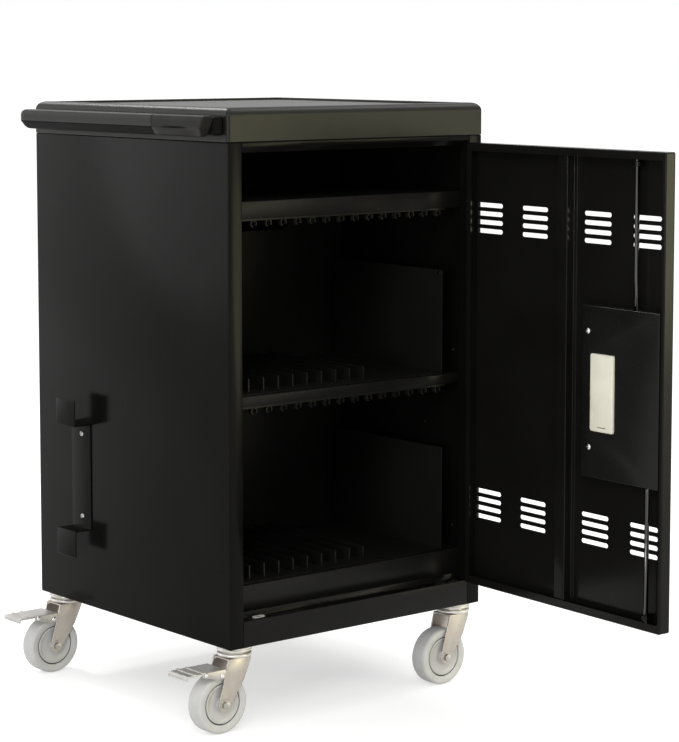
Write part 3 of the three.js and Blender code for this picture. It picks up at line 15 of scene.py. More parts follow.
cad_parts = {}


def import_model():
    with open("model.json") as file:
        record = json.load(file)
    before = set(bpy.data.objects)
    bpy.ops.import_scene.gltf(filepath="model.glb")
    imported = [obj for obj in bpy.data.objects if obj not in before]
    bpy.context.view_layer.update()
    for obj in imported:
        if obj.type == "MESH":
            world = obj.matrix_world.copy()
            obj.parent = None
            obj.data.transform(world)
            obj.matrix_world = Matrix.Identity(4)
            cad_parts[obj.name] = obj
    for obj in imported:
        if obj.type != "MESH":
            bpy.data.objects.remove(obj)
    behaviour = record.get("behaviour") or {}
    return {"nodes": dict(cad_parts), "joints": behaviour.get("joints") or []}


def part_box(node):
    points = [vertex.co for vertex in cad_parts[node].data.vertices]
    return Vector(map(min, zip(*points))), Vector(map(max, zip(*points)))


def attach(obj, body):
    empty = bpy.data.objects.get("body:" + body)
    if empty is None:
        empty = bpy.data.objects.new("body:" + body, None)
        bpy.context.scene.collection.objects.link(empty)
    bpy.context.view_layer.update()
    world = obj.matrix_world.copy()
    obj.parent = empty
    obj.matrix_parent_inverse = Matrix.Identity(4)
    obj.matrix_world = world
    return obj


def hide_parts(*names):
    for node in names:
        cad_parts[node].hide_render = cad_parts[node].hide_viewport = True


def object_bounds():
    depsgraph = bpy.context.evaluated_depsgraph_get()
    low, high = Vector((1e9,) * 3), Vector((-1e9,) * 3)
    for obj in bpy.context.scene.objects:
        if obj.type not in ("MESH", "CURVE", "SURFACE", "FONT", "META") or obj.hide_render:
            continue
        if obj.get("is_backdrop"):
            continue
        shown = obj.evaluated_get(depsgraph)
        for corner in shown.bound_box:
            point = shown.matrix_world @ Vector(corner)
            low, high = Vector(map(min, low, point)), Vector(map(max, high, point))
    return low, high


LOG = logging.getLogger("charging_cart")

RGB = tuple[float, float, float]
Point = tuple[float, float, float]
Profile = Sequence[tuple[float, float]]


class Slot(str, Enum):
    """Material slots of the record."""

    PAINT = "black_paint"
    PLASTIC = "black_plastic"
    CREAM = "cream_plastic"
    STEEL = "steel"
    ZINC = "zinc"
    TYRE = "tyre_grey"
    HUB = "hub_grey"


class Body(str, Enum):
    """Moving bodies that pieces ride on; caster bodies add the caster's place to the stem."""

    CABINET = "cabinet"
    FRONT_DOOR = "front_door"
    LOCK = "lock"
    UPPER_ROD = "upper_rod"
    LOWER_ROD = "lower_rod"
    REAR_DOOR = "rear_door"
    REAR_LOCK = "rear_lock"
    SWITCH = "power_switch"
    SWIVEL = "swivel_"
    WHEEL = "wheel_"
    PEDAL = "pedal_"


class Axis(Enum):
    """Directions that a turned piece or a fastener points along."""

    X = Vector((1.0, 0.0, 0.0))
    Y = Vector((0.0, 1.0, 0.0))
    Z = Vector((0.0, 0.0, 1.0))


# Finishes


class Shading:
    """A material's node tree while it is being put together."""

    def __init__(self, name: str) -> None:
        """Starts an empty material with a principled shader.

        Args:
            name: The material's name.
        """
        self.material = bpy.data.materials.new(name)
        self.material.use_nodes = True
        self.tree = self.material.node_tree
        self.tree.nodes.clear()
        self.shader = self.node("ShaderNodeBsdfPrincipled")
        output = self.node("ShaderNodeOutputMaterial")
        self.tree.links.new(self.shader.outputs["BSDF"], output.inputs["Surface"])
        self.place = self.node("ShaderNodeTexCoord").outputs["Object"]

    def node(self, kind: str, **settings: object) -> bpy.types.Node:
        """Adds a node.

        Args:
            kind: The node's type name.
            settings: Properties of the node to set.

        Returns:
            The node.
        """
        made = self.tree.nodes.new(kind)
        for key, value in settings.items():
            setattr(made, key, value)
        return made

    def noise(self, scale: float, detail: float, stretch: RGB = (1.0, 1.0, 1.0)) -> bpy.types.NodeSocket:
        """Adds a noise pattern on the object's own coordinates.

        Args:
            scale: Features per metre.
            detail: Octaves.
            stretch: Factors on the three axes before the pattern is read.

        Returns:
            The pattern's value socket.
        """
        mapping = self.node("ShaderNodeMapping")
        mapping.inputs["Scale"].default_value = stretch
        made = self.node("ShaderNodeTexNoise")
        made.inputs["Scale"].default_value = scale
        made.inputs["Detail"].default_value = detail
        self.tree.links.new(self.place, mapping.inputs["Vector"])
        self.tree.links.new(mapping.outputs["Vector"], made.inputs["Vector"])
        return made.outputs["Fac"]

    def remap(self, value: bpy.types.NodeSocket, low: float, high: float, narrow: float = 0.3) -> bpy.types.NodeSocket:
        """Spreads a noise value over a range.

        Args:
            value: The noise.
            low: Result at the noise's lower end.
            high: Result at the noise's upper end.
            narrow: Lower end of the noise values that count, mirrored about a half.

        Returns:
            The remapped value.
        """
        made = self.node("ShaderNodeMapRange")
        made.inputs["From Min"].default_value = narrow
        made.inputs["From Max"].default_value = 1.0 - narrow
        made.inputs["To Min"].default_value = low
        made.inputs["To Max"].default_value = high
        self.tree.links.new(value, made.inputs["Value"])
        return made.outputs["Result"]

    def blend(self, value: bpy.types.NodeSocket, first: RGB, second: RGB) -> bpy.types.NodeSocket:
        """Mixes two colours by a value.

        Args:
            value: Share of the second colour.
            first: Colour at 0.
            second: Colour at 1.

        Returns:
            The mixed colour.
        """
        made = self.node("ShaderNodeMix", data_type="RGBA")
        colours = [socket for socket in made.inputs if socket.type == "RGBA"]
        colours[0].default_value = (*first, 1.0)
        colours[1].default_value = (*second, 1.0)
        self.tree.links.new(value, made.inputs["Factor"])
        return next(socket for socket in made.outputs if socket.type == "RGBA")

    def relief(self, value: bpy.types.NodeSocket, height: float) -> None:
        """Roughens the surface by a pattern.

        Args:
            value: The pattern.
            height: Its height in metres.
        """
        made = self.node("ShaderNodeBump")
        made.inputs["Strength"].default_value = 1.0
        made.inputs["Distance"].default_value = height
        self.tree.links.new(value, made.inputs["Height"])
        self.tree.links.new(made.outputs["Normal"], self.shader.inputs["Normal"])

    def feed(self, socket: str, value: bpy.types.NodeSocket) -> None:
        """Links a value to one of the shader's sockets."""
        self.tree.links.new(value, self.shader.inputs[socket])

    def set(self, **values: float) -> None:
        """Sets sockets of the shader, named with underscores for spaces."""
        for key, value in values.items():
            self.shader.inputs[key.replace("_", " ")].default_value = value


@dataclass(frozen=True)
class Finish:
    """A surface whose colour, gloss and grain vary by noise."""

    name: str
    slot: Slot
    dark: RGB
    light: RGB
    gloss: tuple[float, float]
    mottle: float = 9.0
    grain: float = 500.0
    height: float = 4e-6
    metallic: float = 0.0
    specular: float = 0.5
    coat: float = 0.0
    stretch: RGB = (1.0, 1.0, 1.0)

    @cache
    def material(self) -> bpy.types.Material:
        """Builds the material once.

        Returns:
            The material.
        """
        made = Shading(self.name)
        blotches = made.noise(self.mottle, 4.0, self.stretch)
        grain = made.noise(self.grain, 2.0, self.stretch)
        made.feed("Base Color", made.blend(made.remap(blotches, 0.0, 1.0), self.dark, self.light))
        made.feed("Roughness", made.remap(grain, *self.gloss))
        made.relief(grain, self.height)
        made.set(Metallic=self.metallic, Specular_IOR_Level=self.specular, Coat_Weight=self.coat)
        if self.coat:
            made.set(Coat_Roughness=0.12)
        return made.material


PAINT = Finish(
    "black_powder_coat", Slot.PAINT, (0.0036, 0.0034, 0.0029), (0.0054, 0.0051, 0.0043), (0.1, 0.19),
    mottle=6.0, grain=330.0, height=2.5e-6, specular=0.115,
)
# Copy of the black paint with a much weaker reflection: painted shade that makes the side panels, roof and cord hook
# darker than the front.
SHADED_PANEL_PAINT = Finish(
    "black_panel_coat_painted_shade", Slot.PAINT, (0.0036, 0.0035, 0.0032), (0.0054, 0.0052, 0.0048), (0.13, 0.22),
    mottle=6.0, grain=330.0, height=2.5e-6, specular=0.042,
)
INNER_PAINT = Finish(
    "black_inside_coat", Slot.PAINT, (0.0072, 0.007, 0.0064), (0.0098, 0.0096, 0.0088), (0.28, 0.4),
    mottle=6.0, grain=330.0, height=2.5e-6, specular=0.12,
)
# Copy of the black paint with a lighter colour: painted reflection that brightens the inside of the open door.
LIT_DOOR_PAINT = Finish(
    "black_door_coat_painted_light", Slot.PAINT, (0.0055, 0.0053, 0.0048), (0.0078, 0.0076, 0.007), (0.13, 0.23),
    mottle=6.0, grain=330.0, height=2.5e-6, specular=0.1,
)
COVER_PAINT = Finish(
    "black_satin_coat", Slot.PAINT, (0.0075, 0.0073, 0.007), (0.0105, 0.0103, 0.01), (0.24, 0.34),
    mottle=14.0, grain=420.0, height=3e-6, specular=0.14,
)
MOULDED = Finish(
    "black_moulding", Slot.PLASTIC, (0.0078, 0.0075, 0.0056), (0.0112, 0.0108, 0.008), (0.32, 0.44),
    mottle=20.0, grain=1300.0, height=7e-6, specular=0.18,
)
BAR = Finish(
    "black_bar_moulding", Slot.PLASTIC, (0.0065, 0.0063, 0.0057), (0.0095, 0.0092, 0.0083), (0.26, 0.38),
    mottle=20.0, grain=1300.0, height=7e-6, specular=0.14,
)
# Darker, matter copy of the bar's moulding: painted shade for the underside of the bar and for the handle's brackets.
SHADED_MOULDING = Finish(
    "black_moulding_painted_shade", Slot.PLASTIC, (0.0026, 0.0026, 0.0025), (0.0042, 0.0042, 0.004), (0.5, 0.62),
    mottle=20.0, grain=1500.0, height=9e-6, specular=0.04,
)
GRIP = Finish(
    "black_grip", Slot.PLASTIC, (0.0085, 0.0082, 0.0074), (0.0125, 0.012, 0.0108), (0.34, 0.48),
    mottle=20.0, grain=1500.0, height=9e-6, specular=0.1,
)
CREAM = Finish(
    "cream_moulding", Slot.CREAM, (0.75, 0.72, 0.59), (0.84, 0.815, 0.69), (0.3, 0.42),
    mottle=30.0, grain=900.0, height=6e-6,
)
STEEL = Finish(
    "plated_steel", Slot.STEEL, (0.56, 0.56, 0.55), (0.72, 0.72, 0.7), (0.2, 0.34),
    mottle=60.0, grain=700.0, height=4e-6, metallic=1.0, stretch=(1.0, 1.0, 0.15),
)
DULL_STEEL = Finish(
    "dull_steel", Slot.STEEL, (0.3, 0.29, 0.27), (0.42, 0.41, 0.385), (0.26, 0.4),
    mottle=60.0, grain=700.0, height=4e-6, metallic=1.0,
)
BLACK_STEEL = Finish(
    "blackened_steel", Slot.STEEL, (0.055, 0.054, 0.052), (0.085, 0.084, 0.081), (0.09, 0.15),
    mottle=40.0, grain=600.0, height=3e-6, metallic=1.0, stretch=(1.0, 1.0, 0.2),
)
ZINC = Finish(
    "nickel_plate", Slot.ZINC, (0.36, 0.324, 0.29), (0.48, 0.44, 0.398), (0.3, 0.42),
    mottle=28.0, grain=650.0, height=4e-6, metallic=0.8, stretch=(1.0, 1.0, 0.35),
)
BRIGHT_ZINC = Finish(
    "bright_plate", Slot.ZINC, (0.58, 0.56, 0.52), (0.7, 0.68, 0.64), (0.3, 0.42),
    mottle=28.0, grain=650.0, height=4e-6, metallic=0.6,
)
PEDAL_PLATE = Finish(
    "stamped_plate", Slot.ZINC, (0.41, 0.395, 0.37), (0.51, 0.495, 0.465), (0.3, 0.42),
    mottle=28.0, grain=650.0, height=4e-6, metallic=0.6,
)
RUBBER = Finish(
    "grey_rubber", Slot.TYRE, (0.57, 0.57, 0.563), (0.64, 0.64, 0.632), (0.46, 0.6),
    mottle=45.0, grain=1500.0, height=1e-5, specular=0.35,
)
HUB = Finish(
    "grey_moulding", Slot.HUB, (0.5, 0.495, 0.485), (0.58, 0.575, 0.565), (0.3, 0.42),
    mottle=30.0, grain=1100.0, height=5e-6,
)
# Near-black finish for the ring in the gap between hub and tyre: painted shade in that seam.
SEAM_SHADE = Finish(
    "painted_seam_shade", Slot.HUB, (0.02, 0.02, 0.02), (0.035, 0.035, 0.034), (0.5, 0.7), grain=900.0, specular=0.2,
)


# Meshes


class Frame:
    """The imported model, and the ways that pieces are set on it."""

    nodes: dict[str, bpy.types.Object] = {}
    joints: dict[str, Vector] = {}
    ranges: dict[str, list[float]] = {}

    @classmethod
    def load(cls) -> tuple[Vector, Vector]:
        """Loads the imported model.

        Returns:
            The lowest and highest corners of the plain model.
        """
        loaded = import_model()
        cls.nodes = loaded["nodes"]
        cls.joints = {joint["name"]: Vector(joint["pos_m"]) for joint in loaded["joints"] if "pos_m" in joint}
        cls.ranges = {joint["name"]: joint["range_deg"] for joint in loaded["joints"] if "range_deg" in joint}
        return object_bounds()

    @classmethod
    def joint(cls, name: str) -> Vector:
        """Where a joint's axis is.

        Args:
            name: The joint.

        Returns:
            A point on its axis.
        """
        return cls.joints[name]

    @classmethod
    def dress(cls, finish: Finish, *names: str) -> None:
        """Gives plain nodes a finish.

        Args:
            finish: The finish.
            names: Nodes that keep their own shape.
        """
        for name in names:
            cls.nodes[name].data.materials.clear()
            cls.nodes[name].data.materials.append(finish.material())

    @staticmethod
    def place(mesh: bpy.types.Mesh, name: str, body: str, finish: Finish, *stands_for: str) -> bpy.types.Object:
        """Turns a mesh into a piece that rides on a body.

        Args:
            mesh: The piece's mesh, already where it belongs.
            name: The piece's name.
            body: The body that it moves with.
            finish: Its finish.
            stands_for: Nodes that it replaces.

        Returns:
            The piece.
        """
        mesh.name = name
        mesh.materials.clear()
        mesh.materials.append(finish.material())
        piece = bpy.data.objects.new(name, mesh)
        bpy.context.scene.collection.objects.link(piece)
        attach(piece, body.value if isinstance(body, Body) else body)
        if stands_for:
            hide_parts(*stands_for)
        LOG.info("%s: %d faces on %s", name, len(mesh.polygons), body)
        return piece

    @classmethod
    def soften(
        cls, node: str, body: str, finish: Finish, fold: float = 0.0018, edge: float = 0.0004, steps: int = 3,
        shape: Callable[[bmesh.types.BMesh], None] | None = None,
    ) -> bpy.types.Object:
        """Replaces a node by a copy whose edges are rounded over.

        Args:
            node: The node.
            body: The body that it moves with.
            finish: Its finish.
            fold: Radius of the edges on the outside of the node's box.
            edge: Radius of its other edges.
            steps: Faces round each edge.
            shape: Changes the copy before its edges are rounded.

        Returns:
            The piece.
        """
        bm = bmesh.new()
        bm.from_mesh(cls.nodes[node].data)
        bmesh.ops.remove_doubles(bm, verts=bm.verts, dist=1e-6)
        bmesh.ops.dissolve_limit(bm, angle_limit=math.radians(0.4), verts=bm.verts, edges=bm.edges)
        low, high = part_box(node)
        weight = bm.edges.layers.float.new("bevel_weight_edge")
        widest = max(fold, edge)
        for e in bm.edges:
            if len(e.link_faces) != 2 or e.calc_face_angle(0.0) < math.radians(28):
                continue
            outer = 0
            for axis in range(3):
                for bound in (low[axis], high[axis]):
                    outer += all(abs(v.co[axis] - bound) < 2e-5 for v in e.verts)
            e[weight] = (fold if outer >= 2 else edge) / widest
        if shape:
            shape(bm)
        mesh = bpy.data.meshes.new(node)
        bm.to_mesh(mesh)
        bm.free()
        rounding = {"width": widest, "segments": steps, "limit_method": "WEIGHT", "use_clamp_overlap": False}
        return cls.place(rounded(mesh, **rounding), f"{node}_piece", body, finish, node)

    @classmethod
    def smooth(cls, node: str, body: str, finish: Finish, angle: float = 38.0) -> bpy.types.Object:
        """Replaces a node by a copy whose facets are shaded as curves.

        Args:
            node: The node.
            body: The body that it moves with.
            finish: Its finish.
            angle: Edges up to this many degrees are smooth.

        Returns:
            The piece.
        """
        bm = bmesh.new()
        bm.from_mesh(cls.nodes[node].data)
        bmesh.ops.remove_doubles(bm, verts=bm.verts, dist=1e-6)
        return cls.place(mesh_of(bm, node, angle), f"{node}_piece", body, finish, node)


def rounded(mesh: bpy.types.Mesh, **settings: object) -> bpy.types.Mesh:
    """Rounds a mesh's edges with a bevel, and keeps its flat faces flat.

    Args:
        mesh: The mesh.
        settings: Properties of the bevel.

    Returns:
        The rounded mesh.
    """
    carrier = bpy.data.objects.new("rounding", mesh)
    bpy.context.scene.collection.objects.link(carrier)
    bevel = carrier.modifiers.new("bevel", "BEVEL")
    for key, value in settings.items():
        setattr(bevel, key, value)
    mesh.polygons.foreach_set("use_smooth", [True] * len(mesh.polygons))
    bevel.harden_normals = True
    return settled(carrier)


def weighted(mesh: bpy.types.Mesh) -> bpy.types.Mesh:
    """Shades a mesh so that its large faces stay flat and only its narrow ones turn.

    Args:
        mesh: The mesh.

    Returns:
        The shaded mesh.
    """
    carrier = bpy.data.objects.new("weighting", mesh)
    bpy.context.scene.collection.objects.link(carrier)
    carrier.modifiers.new("weighting", "WEIGHTED_NORMAL").keep_sharp = True
    return settled(carrier)


def settled(carrier: bpy.types.Object) -> bpy.types.Mesh:
    """Turns an object with modifiers into a plain mesh, and removes the object.

    Args:
        carrier: The object.

    Returns:
        The evaluated mesh.
    """
    view = bpy.context.evaluated_depsgraph_get()
    made = bpy.data.meshes.new_from_object(carrier.evaluated_get(view), depsgraph=view)
    bpy.data.objects.remove(carrier)
    return made


def mesh_of(bm: bmesh.types.BMesh, name: str, smooth: float | None = None) -> bpy.types.Mesh:
    """Closes a working mesh off into a mesh with its faces pointing out.

    Args:
        bm: The working mesh, which is freed.
        name: The mesh's name.
        smooth: Angle in degrees below which edges are shaded smooth, or nothing for flat faces.

    Returns:
        The mesh.
    """
    bmesh.ops.remove_doubles(bm, verts=bm.verts, dist=1e-7)
    bmesh.ops.recalc_face_normals(bm, faces=bm.faces)
    made = bpy.data.meshes.new(name)
    bm.to_mesh(made)
    bm.free()
    if smooth is not None:
        made.shade_smooth()
        made.set_sharp_from_angle(angle=math.radians(smooth))
    return made


def turned(profile: Profile, centre: Point, axis: Axis, steps: int = 72) -> bmesh.types.BMesh:
    """Turns a closed profile round an axis.

    Args:
        profile: Points of radius and length along the axis, in order round the section.
        centre: Where the axis starts.
        axis: The axis.
        steps: Faces round the piece.

    Returns:
        The working mesh.
    """
    bm = bmesh.new()
    lay = Vector((0.0, 0.0, 1.0)).rotation_difference(axis.value).to_matrix()
    rings = []
    for k in range(steps):
        a = 2.0 * math.pi * k / steps
        ring = [lay @ Vector((r * math.cos(a), r * math.sin(a), z)) + Vector(centre) for r, z in profile]
        rings.append([bm.verts.new(p) for p in ring])
    count = len(profile)
    for k in range(steps):
        for i in range(count):
            j = (i + 1) % count
            bm.faces.new((rings[k][i], rings[k][j], rings[(k + 1) % steps][j], rings[(k + 1) % steps][i]))
    return bm


def block(low: Point, high: Point) -> bmesh.types.BMesh:
    """Makes a box.

    Args:
        low: Its lowest corner.
        high: Its highest corner.

    Returns:
        The working mesh.
    """
    bm = bmesh.new()
    size = Vector(high) - Vector(low)
    bmesh.ops.create_cube(bm, size=1.0, matrix=Matrix.Diagonal((*size, 1.0)))
    bmesh.ops.translate(bm, verts=bm.verts, vec=(Vector(low) + Vector(high)) / 2)
    return bm


def rod(foot: Point, axis: Axis, radius: float, length: float, steps: int = 32) -> bmesh.types.BMesh:
    """Makes a round bar.

    Args:
        foot: The middle of its first end.
        axis: Its direction.
        radius: Its radius.
        length: Its length.
        steps: Faces round it.

    Returns:
        The working mesh.
    """
    bm = turned([(0.0, 0.0), (radius, 0.0), (radius, length), (0.0, length)], foot, axis, steps)
    bmesh.ops.remove_doubles(bm, verts=bm.verts, dist=1e-7)
    bmesh.ops.recalc_face_normals(bm, faces=bm.faces)
    return bm


def merge(into: bmesh.types.BMesh, other: bmesh.types.BMesh) -> None:
    """Moves one working mesh into another.

    Args:
        into: The mesh that grows.
        other: The mesh that is used up.
    """
    bmesh.ops.recalc_face_normals(other, faces=other.faces)
    scrap = bpy.data.meshes.new("scrap")
    other.to_mesh(scrap)
    other.free()
    into.from_mesh(scrap)
    bpy.data.meshes.remove(scrap)


def rounded_rectangle(half_x: float, half_z: float, radius: float, steps: int = 6) -> list[tuple[float, float]]:
    """Draws a rectangle with round corners.

    Args:
        half_x: Half its width.
        half_z: Half its height.
        radius: Radius of its corners.
        steps: Points less one on each corner.

    Returns:
        Its points in order, about its middle.
    """
    points = []
    for corner, (sx, sz) in enumerate(((1, 1), (-1, 1), (-1, -1), (1, -1))):
        for k in range(steps + 1):
            a = math.pi / 2 * (corner + k / steps)
            points.append((sx * (half_x - radius) + radius * math.cos(a), sz * (half_z - radius) + radius * math.sin(a)))
    return points


# Trees of geometry nodes


class Growth:
    """A geometry tree with named sizes, which grows repeated shapes."""

    def __init__(self, name: str) -> None:
        """Starts the tree.

        Args:
            name: The tree's name.
        """
        self.tree = bpy.data.node_groups.new(name, "GeometryNodeTree")
        self.tree.interface.new_socket("Geometry", in_out="INPUT", socket_type="NodeSocketGeometry")
        self.tree.interface.new_socket("Geometry", in_out="OUTPUT", socket_type="NodeSocketGeometry")
        self.inlet = self.tree.nodes.new("NodeGroupInput")
        self.outlet = self.tree.nodes.new("NodeGroupOutput")

    @property
    def geometry(self) -> bpy.types.NodeSocket:
        """What the tree is given."""
        return self.inlet.outputs["Geometry"]

    def size(self, name: str, kind: str = "NodeSocketFloat") -> bpy.types.NodeSocket:
        """Adds a named input.

        Args:
            name: The input's name.
            kind: The input's socket type.

        Returns:
            The input's socket inside the tree.
        """
        self.tree.interface.new_socket(name, in_out="INPUT", socket_type=kind)
        return self.inlet.outputs[name]

    def node(self, kind: str, links: dict[str | int, object], **settings: object) -> bpy.types.Node:
        """Adds a node and feeds its inputs.

        Args:
            kind: The node's type name.
            links: Sockets or plain values by input name or number.
            settings: Properties of the node to set.

        Returns:
            The node.
        """
        made = self.tree.nodes.new(kind)
        for key, value in settings.items():
            setattr(made, key, value)
        for key, value in links.items():
            for one in value if isinstance(value, list) else [value]:
                if isinstance(one, bpy.types.NodeSocket):
                    self.tree.links.new(one, made.inputs[key])
                else:
                    made.inputs[key].default_value = one
        return made

    def sum(self, kind: str, first: object, second: object) -> bpy.types.NodeSocket:
        """Adds a sum of two numbers.

        Args:
            kind: The operation, such as MULTIPLY.
            first: Left side.
            second: Right side.

        Returns:
            The result.
        """
        return self.node("ShaderNodeMath", {0: first, 1: second}, operation=kind).outputs[0]

    def vector(self, x: object, y: object, z: object) -> bpy.types.NodeSocket:
        """Puts three numbers together as a vector."""
        return self.node("ShaderNodeCombineXYZ", {"X": x, "Y": y, "Z": z}).outputs[0]

    def cuboid(self, size: object, at: object) -> bpy.types.NodeSocket:
        """Adds a box of a size at a place."""
        made = self.node("GeometryNodeMeshCube", {"Size": size}).outputs["Mesh"]
        return self.node("GeometryNodeTransform", {"Geometry": made, "Translation": at}).outputs[0]

    def less(self, body: bpy.types.NodeSocket, cutters: list) -> bpy.types.NodeSocket:
        """Cuts shapes out of a body."""
        cut = self.node("GeometryNodeMeshBoolean", {}, operation="DIFFERENCE", solver="EXACT")
        self.tree.links.new(body, cut.inputs["Mesh 1"])
        for cutter in cutters:
            self.tree.links.new(cutter, cut.inputs["Mesh 2"])
        return cut.outputs["Mesh"]

    def close(self, shape: bpy.types.NodeSocket, finish: Finish) -> None:
        """Ends the tree: instances become real, and take their finish.

        Args:
            shape: What the tree has grown.
            finish: Its finish.
        """
        real = self.node("GeometryNodeRealizeInstances", {"Geometry": shape}).outputs[0]
        painted = self.node("GeometryNodeSetMaterial", {"Geometry": real, "Material": finish.material()})
        self.tree.links.new(painted.outputs[0], self.outlet.inputs["Geometry"])

    def grow(self, seeds: bpy.types.Mesh, sizes: dict[str, object]) -> bpy.types.Mesh:
        """Runs the tree.

        Args:
            seeds: The mesh that it is given.
            sizes: Values of the named inputs.

        Returns:
            A plain mesh.
        """
        carrier = bpy.data.objects.new("growth", seeds)
        bpy.context.scene.collection.objects.link(carrier)
        nodes = carrier.modifiers.new("growth", "NODES")
        nodes.node_group = self.tree
        for item in self.tree.interface.items_tree:
            if item.in_out == "INPUT" and item.name in sizes:
                nodes[item.identifier] = sizes[item.name]
        return settled(carrier)


@dataclass
class Screws:
    """Pan-head screws with a cross recess, set wherever a point and a direction are given."""

    radius: float = 0.0042
    height: float = 0.0022
    recess: float = 0.0009
    seed: int = 7
    spots: list[tuple[Point, Vector]] = field(default_factory=list)

    def at(self, *spots: tuple[Point, Vector]) -> "Screws":
        """Adds screws.

        Args:
            spots: Each screw's seat and the direction that its head faces.

        Returns:
            The same set of screws.
        """
        self.spots.extend(spots)
        return self

    @staticmethod
    @cache
    def tree(finish: Finish) -> Growth:
        """Builds the tree of a screw on each point.

        Args:
            finish: The screws' finish.

        Returns:
            The tree.
        """
        made = Growth("screw_heads")
        radius, height = made.size("Head Radius"), made.size("Head Height")
        recess, seed = made.size("Recess Width"), made.size("Seed", "NodeSocketInt")
        ball = made.node("GeometryNodeMeshUVSphere", {"Segments": 20, "Rings": 12, "Radius": 1.0})
        dome = made.node(
            "GeometryNodeTransform", {"Geometry": ball.outputs["Mesh"], "Scale": made.vector(radius, radius, height)},
        )
        double = made.sum("MULTIPLY", radius, 3.0)
        below = made.cuboid(made.vector(double, double, radius), made.vector(0.0, 0.0, made.sum("MULTIPLY", radius, -0.5)))
        arm = made.sum("MULTIPLY", radius, 1.25)
        up = made.vector(0.0, 0.0, height)
        slots = [
            made.cuboid(made.vector(arm, recess, height), up),
            made.cuboid(made.vector(recess, arm, height), up),
        ]
        head = made.less(dome.outputs[0], [below, *slots])
        facing = made.node("GeometryNodeInputNamedAttribute", {"Name": "facing"}, data_type="FLOAT_VECTOR")
        stand = made.node(
            "FunctionNodeAlignRotationToVector", {"Vector": facing.outputs["Attribute"]}, axis="Z",
        )
        spin = made.node(
            "FunctionNodeRandomValue", {2: 0.0, 3: math.pi, "Seed": seed}, data_type="FLOAT",
        )
        turn = made.node("FunctionNodeEulerToRotation", {"Euler": made.vector(0.0, 0.0, spin.outputs[1])})
        pose = made.node(
            "FunctionNodeRotateRotation", {"Rotation": stand.outputs[0], "Rotate By": turn.outputs[0]},
            rotation_space="LOCAL",
        )
        spread = made.node(
            "GeometryNodeInstanceOnPoints",
            {"Points": made.geometry, "Instance": head, "Rotation": pose.outputs[0]},
        )
        made.close(spread.outputs["Instances"], finish)
        return made

    def build(self, name: str, body: str, finish: Finish) -> bpy.types.Object:
        """Grows the screws as one piece.

        Args:
            name: The piece's name.
            body: The body that they hold to.
            finish: Their finish.

        Returns:
            The piece.
        """
        seeds = bpy.data.meshes.new(name)
        seeds.from_pydata([spot for spot, _ in self.spots], [], [])
        facing = seeds.attributes.new("facing", "FLOAT_VECTOR", "POINT")
        for k, (_, way) in enumerate(self.spots):
            facing.data[k].vector = way
        sizes = {
            "Head Radius": self.radius, "Head Height": self.height, "Recess Width": self.recess, "Seed": self.seed,
        }
        mesh = self.tree(finish).grow(seeds, sizes)
        mesh.shade_smooth()
        mesh.set_sharp_from_angle(angle=math.radians(35))
        return Frame.place(mesh, name, body, finish)


